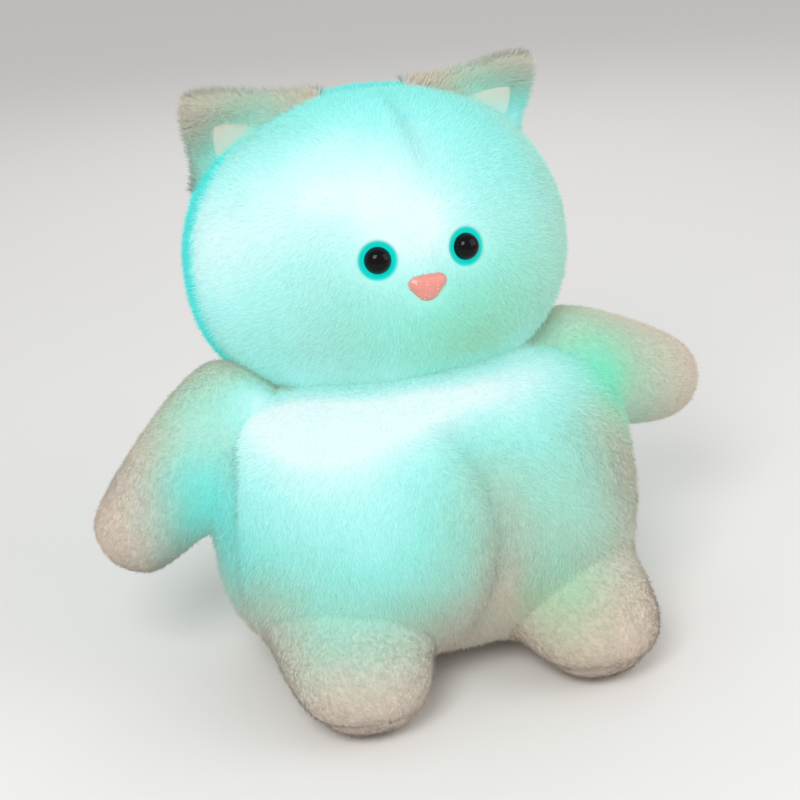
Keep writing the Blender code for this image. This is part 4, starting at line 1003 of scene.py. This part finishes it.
@dataclass
class Pile:
    """The strands of one form's pile, each a slim three-sided spike."""

    form: Form
    limit: int = 48000
    rounding: float = 0.5
    stray: float = 0.28
    jitter: float = 0.10
    lengths: tuple[float, float] = (0.72, 1.22)
    radii: tuple[float, float] = (0.7, 1.25)
    parted: float = 0.62
    swirl_waves: tuple[float, float, float] = (61.0, 47.0, 83.0)
    root_depth: float = 0.0004
    ground_gap: float = 0.0002
    root_height: float = 0.0012
    hidden_depth: float = 0.0015
    seed: int = 7

    def strand(self) -> tuple[Array, Array]:
        """Model one strand: a cone of three sides, of unit length.

        Returns:
            Its points, the tip last, and its triangles.
        """
        deselect()
        bpy.ops.mesh.primitive_cone_add(vertices=3, radius1=1, radius2=0, depth=1, location=(0, 0, 0.5))
        piece = taken("strand")
        points = points_of(piece.data)
        piece.data.calc_loop_triangles()
        faces = np.array([list(t.vertices) for t in piece.data.loop_triangles])
        bpy.data.objects.remove(piece)
        return points, faces

    def roots(self, skin: Piece, others: Sequence[Form]) -> dict[str, Array]:
        """Choose where the strands grow.

        Args:
            skin: The form's skin.
            others: Forms that hide what lies in them.

        Returns:
            The strands' places, normals and kept numbers.
        """
        mesh = skin.data
        mesh.calc_loop_triangles()
        triangles = column(mesh.loop_triangles, "vertices", 3, np.int64)
        points = points_of(mesh)
        a, b, c = (points[triangles[:, n]] for n in range(3))
        area = np.linalg.norm(np.cross(b - a, c - a), axis=1) / 2
        rng = np.random.default_rng(self.seed)
        count = int(area.sum() / MM**2 * self.form.density)
        chosen = rng.choice(len(area), count, p=area / area.sum())
        u, v = rng.random((2, count))
        flip = u + v > 1
        u[flip], v[flip] = 1 - u[flip], 1 - v[flip]
        weights = np.stack((1 - u - v, u, v), 1)
        chosen_corners = triangles[chosen]

        def spread(values: Array) -> Array:
            """Values of the skin's points at the roots."""
            return np.einsum("ij,ij...->i...", weights, values[chosen_corners])

        found = {"place": spread(points), "normal": unit(spread(column(mesh.vertices, "normal", 3)))}
        for name in ("parting", *SHOWN):
            found[name] = spread(column(mesh.attributes[name].data, "value"))
        keep = rng.random(count) > self.form.bare(found["place"])
        keep &= found["place"][:, 2] > self.root_height
        for other in others:
            keep &= ~other.inside(found["place"], self.hidden_depth)
        return {name: values[keep] for name, values in found.items()}

    def grow(self, skin: Piece, others: Sequence[Form], material: Material) -> list[Piece]:
        """Grow the pile on a skin.

        Args:
            skin: The form's skin.
            others: Forms that hide what lies in them.
            material: The strands' material.

        Returns:
            The pile's pieces.
        """
        rng = np.random.default_rng(self.seed + 1)
        roots = self.roots(skin, others)
        count = len(roots["place"])
        normal, parting = roots["normal"], roots["parting"]
        nap = self.form.nap(roots["place"])
        nap = unit(nap - np.einsum("ij,ij->i", nap, normal)[:, None] * normal)
        swirl = np.sin(roots["place"] @ np.array(self.swirl_waves) + 1.1) * 0.5
        nap = unit(nap + np.cross(normal, nap) * (swirl + rng.normal(0, self.stray, count))[:, None])
        lean = np.clip(self.form.lean + rng.normal(0, self.jitter, count), 0.05, 0.92)
        lean = (lean * (1 - 0.3 * parting))[:, None]
        direction = unit(normal * (1 - lean) + nap * lean + rng.normal(0, self.jitter, (count, 3)))
        length = self.form.pile * rng.uniform(*self.lengths, count) * (1 - self.parted * parting)
        length *= self.form.trimmed(roots["place"])
        radius = self.form.strand_radius * rng.uniform(*self.radii, count)
        side = unit(np.cross(direction, rng.normal(0, 1, (count, 3))))
        other_side = np.cross(direction, side)
        shape, faces = self.strand()
        made = (roots["place"] - normal * self.root_depth)[:, None]
        for axis, (way, size) in enumerate(((side, radius), (other_side, radius), (direction, length))):
            made = made + way[:, None] * (shape[:, axis] * size[:, None])[..., None]
        made[..., 2] = np.maximum(made[..., 2], self.ground_gap)
        outward = side[:, None] * shape[:, 0, None] + other_side[:, None] * shape[:, 1, None]
        normals = unit(normal[:, None] + self.rounding * outward)
        kept = {"strand": rng.normal(0, 0.5, count)} | {name: roots[name] for name in SHOWN}
        pieces = []
        for number, first in enumerate(range(0, count, self.limit), 1):
            part = slice(first, first + self.limit)
            name = f"{self.form.name}_pile_{number}"
            piece = self.piece(name, made[part], normals[part], faces, material)
            # Height along each strand, which the material turns into painted shade from root to tip.
            store(piece.data, "tip", np.tile(shape[:, 2], len(made[part])))
            for kind, values in kept.items():
                store(piece.data, kind, np.repeat(values[part], len(shape)))
            pieces.append(piece)
        return pieces

    def piece(self, name: str, points: Array, normals: Array, faces: Array, material: Material) -> Piece:
        """Make one mesh of many strands.

        Args:
            name: The piece's name.
            points: Points of each strand.
            normals: The shading's normal at each point.
            faces: Triangles of one strand.
            material: The strands' material.

        Returns:
            The piece.
        """
        count, size = points.shape[:2]
        mesh = bpy.data.meshes.new(name)
        triangles = (faces[None] + (np.arange(count) * size)[:, None, None]).reshape(-1, 3)
        mesh.vertices.add(count * size)
        mesh.vertices.foreach_set("co", points.astype(np.float32).ravel())
        mesh.loops.add(triangles.size)
        mesh.loops.foreach_set("vertex_index", triangles.astype(np.int32).ravel())
        mesh.polygons.add(len(triangles))
        mesh.polygons.foreach_set("loop_start", np.arange(0, triangles.size, 3, dtype=np.int32))
        mesh.polygons.foreach_set("loop_total", np.full(len(triangles), 3, np.int32))
        mesh.update(calc_edges=True)
        mesh.materials.append(material)
        mesh.shade_smooth()
        mesh.normals_split_custom_set_from_vertices(normals.reshape(-1, 3))
        piece = bpy.data.objects.new(name, mesh)
        bpy.context.scene.collection.objects.link(piece)
        return piece


# Face


@dataclass(frozen=True)
class EyeSizes:
    """Sizes of a domed eye, in metres."""

    radius: float = 0.0060
    height: float = 0.0054
    sink: float = 0.0027


@dataclass(frozen=True)
class NoseSizes:
    """Sizes of the nose, in metres, and how much its three corners stand out."""

    half_width: float = 0.0088
    half_height: float = 0.0063
    height: float = 0.0042
    sink: float = 0.0016
    corner_share: float = 0.13


@dataclass(frozen=True)
class GlossFinish:
    """A hard glossy finish, with small sparkles if asked: pale spots painted into the colour, painted
    highlights of the glitter.
    """

    name: str
    tone: Tone
    roughness: float
    coat: float = 1.0
    gloss: float = 0.5
    sparkle: bool = False
    # Tone of the painted highlights on the glitter.
    painted_glint_tone: Tone = (255, 226, 214)

    def build(self) -> Material:
        """Make the material."""
        nodes = Nodes(self.name)
        nodes.settle(Roughness=self.roughness, Specular_IOR_Level=self.gloss, Coat_Weight=self.coat,
                     Coat_Roughness=0.04)
        tone = linear(*self.tone)
        if not self.sparkle:
            nodes.settle(Base_Color=(*tone, 1))
            return nodes.material
        cells = nodes.on_place("ShaderNodeTexVoronoi", Scale=1800.0)
        spots = nodes.on_place("ShaderNodeTexVoronoi", Scale=520.0)
        # Painted highlights: pale spots in the base colour where the glitter's sparkles catch the light.
        painted_glint = nodes.math("LESS_THAN", spots.outputs["Distance"], 0.17)
        grain = nodes.mix(0.07, tone, cells.outputs["Color"], "OVERLAY")
        painted_glint = nodes.math("MULTIPLY", painted_glint, 0.75)
        nodes.feed("Base Color", nodes.mix(painted_glint, grain, linear(*self.painted_glint_tone)))
        nodes.bump(cells.outputs["Distance"], 0.0004, 0.35)
        return nodes.material


@dataclass
class Face:
    """The glossy eyes and nose."""

    head: Head
    eye: EyeSizes = EyeSizes()
    nose: NoseSizes = NoseSizes()

    def dome(self, name: str, frame: Array, outline: Callable[[Array], Array],
             half: tuple[float, float], height: float, sink: float) -> Piece:
        """Model a dome on the face.

        Args:
            name: The piece's name.
            frame: Frame on the face with +Z out of it.
            outline: Share of the radius by angle.
            half: Half sizes across and up.
            height: Height over its own base.
            sink: Depth of the base under the face's surface.

        Returns:
            The dome.
        """
        piece = ball(name, 96, 64)
        x, y, z = unit(points_of(piece.data)).T
        share = outline(np.arctan2(y, x))
        rise = np.where(z > 0, z * height, z * 0.0006) - sink
        rounded = np.hypot(x, y) ** np.where(z > 0, 0.86, 1.0) / np.maximum(np.hypot(x, y), 1e-9)
        flat = np.stack((x * rounded * share * half[0], y * rounded * share * half[1], rise), 1)
        set_points(piece.data, placed(frame, flat))
        return piece

    def build(self) -> None:
        """Make the eyes and the nose and set them on the toy."""
        black = GlossFinish("eye_black", (4, 4, 6), 0.05, 0.0, 0.18).build()
        pink = GlossFinish("nose_pink", (228, 142, 130), 0.28, 0.4, 0.5, True).build()
        for side, at in zip(Side, self.head.eye_at):
            piece = self.dome(f"eye_{side.word}_dome", self.head.face_frame(at), np.ones_like,
                              (self.eye.radius, self.eye.radius), self.eye.height, self.eye.sink)
            stand_in(piece, black, f"eye_{side.word}")
        frame = self.head.face_frame(self.head.nose_at)
        half = (self.nose.half_width, self.nose.half_height)
        piece = self.dome("nose_dome", frame, self.rounded_triangle, half, self.nose.height, self.nose.sink)
        stand_in(piece, pink, "nose")

    def rounded_triangle(self, angle: Array) -> Array:
        """Share of the radius of a rounded triangle whose corner points down."""
        return 1 + self.nose.corner_share * np.sin(3 * angle)


# Zip, battery case and lamps


@dataclass(frozen=True)
class HardFinish:
    """A finish of the hardware, with a fine pattern in its height or colour."""

    slot: str
    tone: Tone
    roughness: float = 0.5
    metallic: float = 0.0
    grain: float = 900.0
    grain_depth: float = 0.00005
    second: Tone | None = None
    glow: float = 0.0

    def build(self) -> Material:
        """Make the material."""
        nodes = Nodes(self.slot)
        nodes.settle(Roughness=self.roughness, Metallic=self.metallic)
        pattern = nodes.noise(self.grain, 3)
        other = self.second or tuple(round(value * 0.93) for value in self.tone)
        colour = nodes.ramp(pattern, [(0.42, other), (0.58, self.tone)])
        nodes.feed("Base Color", colour)
        if self.glow:
            nodes.feed("Emission Color", colour)
            nodes.settle(Emission_Strength=self.glow)
        nodes.bump(pattern, self.grain_depth, 0.6)
        return nodes.material


HARD_FINISHES = (
    HardFinish("stuffing", (238, 238, 234), 0.95, grain=500, grain_depth=0.0006),
    HardFinish("washer", (217, 217, 214), 0.6),
    HardFinish("zip_tape", (206, 226, 220), 0.9, grain=1500, grain_depth=0.0002, second=(184, 206, 200)),
    HardFinish("zip_metal", (204, 208, 211), 0.28, 1.0, grain=300),
    HardFinish("case", (220, 222, 220), 0.5, grain=2500, grain_depth=0.00002),
    HardFinish("cell_sleeve", (89, 153, 112), 0.3, 0.6, grain=120, second=(70, 138, 96)),
    HardFinish("contact", (212, 212, 209), 0.25, 1.0, grain=400),
    HardFinish("board", (48, 130, 84), 0.4, grain=600, second=(40, 112, 72)),
    HardFinish("switch", (38, 38, 38), 0.5),
    HardFinish("button", (203, 79, 69), 0.4),
    HardFinish("diffuser", (202, 250, 238), 0.2, grain=200, second=(190, 246, 232), glow=0.8),
    HardFinish("lead", (224, 224, 222), 0.45),
)


class Hardware:
    """The zip, the battery case, the lamps and the other hard pieces, which keep their solids' shape."""

    def build(self) -> None:
        """Give every solid with a finish in the list that finish."""
        finishes = {finish.slot: finish.build() for finish in HARD_FINISHES}
        for entry in frame["record"]["subparts"]:
            material = finishes.get(entry["material_slot"])
            if material is None:
                continue
            node = frame["nodes"][entry["node"]]
            for place in node.material_slots:
                place.material = material
        log.info("hardware: %d finishes", len(finishes))


# The toy

PAW = {"segments": 128, "rings": 96, "slot": "paw_plush", "pile": 0.0032, "density": 2.5, "lean": 0.74,
       "strand_radius": 0.00020}
LIMB_SWELL = 0.011
SMALL_SWELL = 0.008
ARM_BEND = (-0.010, 0.030)


class Cat:
    """The plush forms of the toy, in the frames that the solids have."""

    def __init__(self) -> None:
        """Set out the forms."""
        self.plush = PlushFinish().build()
        self.lining = LiningFinish().build()
        body_place = moved((0, 0, 0.0671)) @ turned("X", -math.radians(5))
        head_place = moved((0, 0.0520, 0.1823)) @ turned("X", -math.radians(12))
        panels = tuple(f"body_{place}_{side.word}" for place in ("front", "back") for side in Side)
        self.body = Body("body", panels + ("body_base", "body_filling"), body_place,
                         half=(0.103, 0.076, 0.069), glow_floor=0.05)
        self.head = Head("head", ("head_face", "head_back", "head_filling"), head_place,
                         half=(0.093, 0.073, 0.074), glow=HEAD_GLOW, glow_floor=0.36)
        self.arms = {side: self.arm(side) for side in Side}
        self.legs = {side: self.leg(side) for side in Side}
        self.ears = {side: self.ear(side, head_place) for side in Side}
        tail_place = moved((0, 0.063, 0.014)) @ along((0, 1, 0))
        # TAIL_GLOW here is painted light that lifts the tail out of the body's shadow.
        self.tail = Limb("tail", ("tail",), tail_place, segments=64, rings=32, length=0.030,
                         root=(0.013, 0.013), end=(0.011, 0.011), slot="back_plush", pile=0.0034,
                         glow=TAIL_GLOW, glow_floor=0.08)

    def arm(self, side: Side) -> Limb:
        """Arm of one side."""
        drop, sweep = {Side.LEFT: (22, -14), Side.RIGHT: (39, 11)}[side]
        drop, sweep = math.radians(drop), math.radians(sweep)
        level = math.cos(sweep)
        way = (side.value * math.cos(drop) * level, -math.sin(sweep), -math.sin(drop) * level)
        place = moved((side.value * 0.0880, 0.0270, 0.1119)) @ along(way)
        nodes = tuple(f"{name}_{side.word}" for name in ("arm", "arm_filling"))
        glow = dimmed(FRONT_GLOW, PANEL_SHARE) + SIDE_GLOW + SHOULDER_GLOW
        return Limb(nodes[0], nodes, place, glow=glow, **PAW)

    def leg(self, side: Side) -> Limb:
        """Leg of one side, with +Y of its frame upwards."""
        splay, drop = math.radians(5), math.radians(17)
        level = math.cos(drop)
        way = Vector((side.value * math.sin(splay) * level, -math.cos(splay) * level, -math.sin(drop)))
        across = way.cross(Vector((0, 0, -1))).normalized()
        turn = np.array(Matrix((across, way.cross(across), way)).transposed().to_4x4())
        place = moved((side.value * 0.051, -0.022, 0.036)) @ turn
        nodes = tuple(f"{name}_{side.word}" for name in ("leg", "leg_filling", "sole"))
        return Limb(nodes[0], nodes, place, length=0.040, root=(0.041, 0.032), end=(0.034, 0.026),
                    glow=FRONT_GLOW + SIDE_GLOW, **PAW)

    def ear(self, side: Side, head_place: Array) -> Ear:
        """Ear of one side."""
        angle = side.value * math.radians(40)
        root = self.head.surface(unit(np.array([(math.sin(angle), 0.0, math.cos(angle))])))[0]
        place = head_place @ moved(root) @ turned("Y", angle) @ turned("Z", side.value * math.radians(22))
        place = place @ turned("X", math.radians(24)) @ moved((0, 0, -0.014))
        name = f"ear_{side.word}"
        return Ear(name, (name,), place, segments=96, rings=64, slot="paw_plush", pile=0.0056, density=3.6,
                   lean=0.52, strand_radius=0.00017, glow=EAR_GLOW, glow_floor=0.08)

    def sew(self) -> None:
        """Lay the seams and folds on the forms."""
        body, head = self.body, self.head
        middle = np.array([(-2, -45, 124), (1, -51, 119), (5, -59, 110), (7, -66, 100), (9, -71, 87),
                           (9, -73, 74), (7, -73, 60), (3, -70, 44), (-3, -60, 26)]) * MM
        dart = np.array([(5, 42, 257), (6, 26, 251), (7, 11, 242), (8, -4, 232)]) * MM
        body.creases.append(Crease(middle, 0.0070, 0.0026, 0.30, 0.09))
        body.creases.append(Crease(middle[1:], 0.0020, 0.0012, 0.50, 0.13))
        for turn in (1, -1):
            body.creases.append(Crease(SIDE_SEAM * (turn, 1, 1), 0.0030, 0.0026, 0.45, 0.14))
        ear_to_ear = placed(head.place, np.array([(0, head.seam_share * head.half[1], 0)]))[0]
        head.creases.append(PlaneSeam(np.array((ear_to_ear, head.place[:3, 1])), 0.0022, 0.0012, 0.6, 0.12))
        head.creases.append(Crease(dart, 0.0042, 0.0022, 0.4, 0.13))
        slope = math.atan2(0.009, 0.096)
        sole = np.array(((0, 0, 0.003), (0, -math.sin(slope), -math.cos(slope))))
        for leg in self.legs.values():
            leg.creases.append(PlaneSeam(sole, 0.0022, 0.0012, 0.5, 0.08))

    def forms(self) -> list[Form]:
        """Every stuffed form."""
        pairs = (self.arms, self.legs, self.ears)
        return [self.head, self.body, *(form for pair in pairs for form in pair.values()), self.tail]

    def neighbours(self, form: Form) -> list[tuple[str, float]]:
        """Names of the forms that a form is sewn to, and how far the swell there reaches."""
        limbs = [(limb.name, LIMB_SWELL) for limb in (*self.arms.values(), *self.legs.values())]
        if form is self.body:
            return limbs + [(self.tail.name, SMALL_SWELL)]
        if form is self.head:
            return [(ear.name, SMALL_SWELL) for ear in self.ears.values()]
        if form in self.ears.values():
            return [(self.head.name, SMALL_SWELL)]
        return [(self.body.name, SMALL_SWELL if form is self.tail else LIMB_SWELL)]

    def line(self, side: Side) -> None:
        """Make the smooth patch of one ear."""
        piece = self.ears[side].lining()
        store(piece.data, "glow", glow_at(points_of(piece.data), EAR_GLOW, 0.10)[0])
        stand_in(piece, self.lining, f"ear_lining_{side.word}")

    def build(self) -> None:
        """Make each form's skin and pile, and set them, all but the arms', on their bodies."""
        self.sew()
        Face(self.head).build()
        for side in Side:
            self.line(side)
        skins = {form.name: form.skin() for form in self.forms()}
        surfaces = {name: surface_of(skin.data) for name, skin in skins.items()}
        for form in self.forms():
            skin = skins[form.name]
            form.press(skin, [(surfaces[name], reach) for name, reach in self.neighbours(form)])
            dress(skin, self.plush)
            # The skin takes the roots' values, and so their painted shade.
            for name in ("tip", "strand"):
                store(skin.data, name, np.zeros(len(skin.data.vertices)))
            others = [other for other in self.forms() if other is not form]
            pile = Pile(form).grow(skin, others, self.plush)
            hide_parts(*form.nodes)
            for piece in [skin, *pile]:
                self.seat(piece, form)
            log.info("%s: skin of %d faces, %d pile pieces", form.name, len(skin.data.polygons), len(pile))

    def seat(self, piece: Piece, form: Form) -> None:
        """Set a piece on the toy's body; an arm's piece only has its place applied to its mesh."""
        for side, arm in self.arms.items():
            if form is arm:
                start, end = placed(arm.place, np.array([(0, 0, z) for z in ARM_BEND]))
                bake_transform(piece)
                return
        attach(piece, TOY)


# Studio


@dataclass
class Studio:
    """Plain pale floor, soft light and the camera at the photograph's angle."""

    camera_at: tuple[float, float, float] = (-0.21078, -0.65144, 0.39638)
    right: tuple[float, float, float] = (0.945371, -0.319302, -0.065727)
    up: tuple[float, float, float] = (0.177809, 0.336060, 0.924904)
    back: tuple[float, float, float] = (-0.273236, -0.886064, 0.374476)
    field_of_view: float = math.radians(28)
    floor_half: float = 3.0
    floor_tone: tuple[float, float, float, float] = (0.78, 0.77, 0.755, 1)
    sky: float = 0.62

    def build(self) -> None:
        """Make the floor, the lights and the camera."""
        scene = bpy.context.scene
        scene.view_settings.view_transform = "Standard"
        camera = bpy.data.objects.new("camera", bpy.data.cameras.new("camera"))
        scene.collection.objects.link(camera)
        turn = Matrix((self.right, self.up, self.back)).transposed().to_4x4()
        camera.matrix_world = Matrix.Translation(self.camera_at) @ turn
        camera.data.sensor_width = 36
        camera.data.lens = 18 / math.tan(self.field_of_view / 2)
        camera.data.clip_start = 0.01
        scene.camera = camera
        self.floor()
        self.light("key", (-0.55, -0.75, 0.95), 8.0, 0.55)
        self.light("fill", (0.85, -0.55, 0.60), 3.2, 0.8)
        self.light("rear", (0.30, 0.95, 0.90), 2.6, 0.9)
        scene.world = bpy.data.worlds.new("studio")
        scene.world.use_nodes = True
        background = scene.world.node_tree.nodes["Background"]
        background.inputs["Color"].default_value = (1, 1, 1, 1)
        background.inputs["Strength"].default_value = self.sky

    def floor(self) -> None:
        """Make the floor."""
        deselect()
        bpy.ops.mesh.primitive_plane_add(size=2 * self.floor_half)
        floor = taken("floor")
        nodes = Nodes("floor")
        nodes.settle(Base_Color=self.floor_tone, Roughness=0.9)
        dress(floor, nodes.material)

    def light(self, name: str, at: Sequence[float], power: float, size: float) -> None:
        """Add a soft area light that faces the toy.

        Args:
            name: The light's name.
            at: Its place.
            power: Watts.
            size: Its width in metres.
        """
        lamp = bpy.data.lights.new(name, "AREA")
        lamp.energy = power
        lamp.size = size
        holder = bpy.data.objects.new(name, lamp)
        bpy.context.scene.collection.objects.link(holder)
        aim = Vector((0, 0, 0.13)) - Vector(at)
        holder.matrix_world = Matrix.Translation(at) @ aim.to_track_quat("-Z", "Y").to_matrix().to_4x4()


def main() -> None:
    """Build the studio and the toy."""
    logging.basicConfig(level=logging.INFO, format="%(message)s")
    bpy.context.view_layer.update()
    Studio().build()
    Cat().build()
    Hardware().build()


if __name__ == "__main__":
    main()
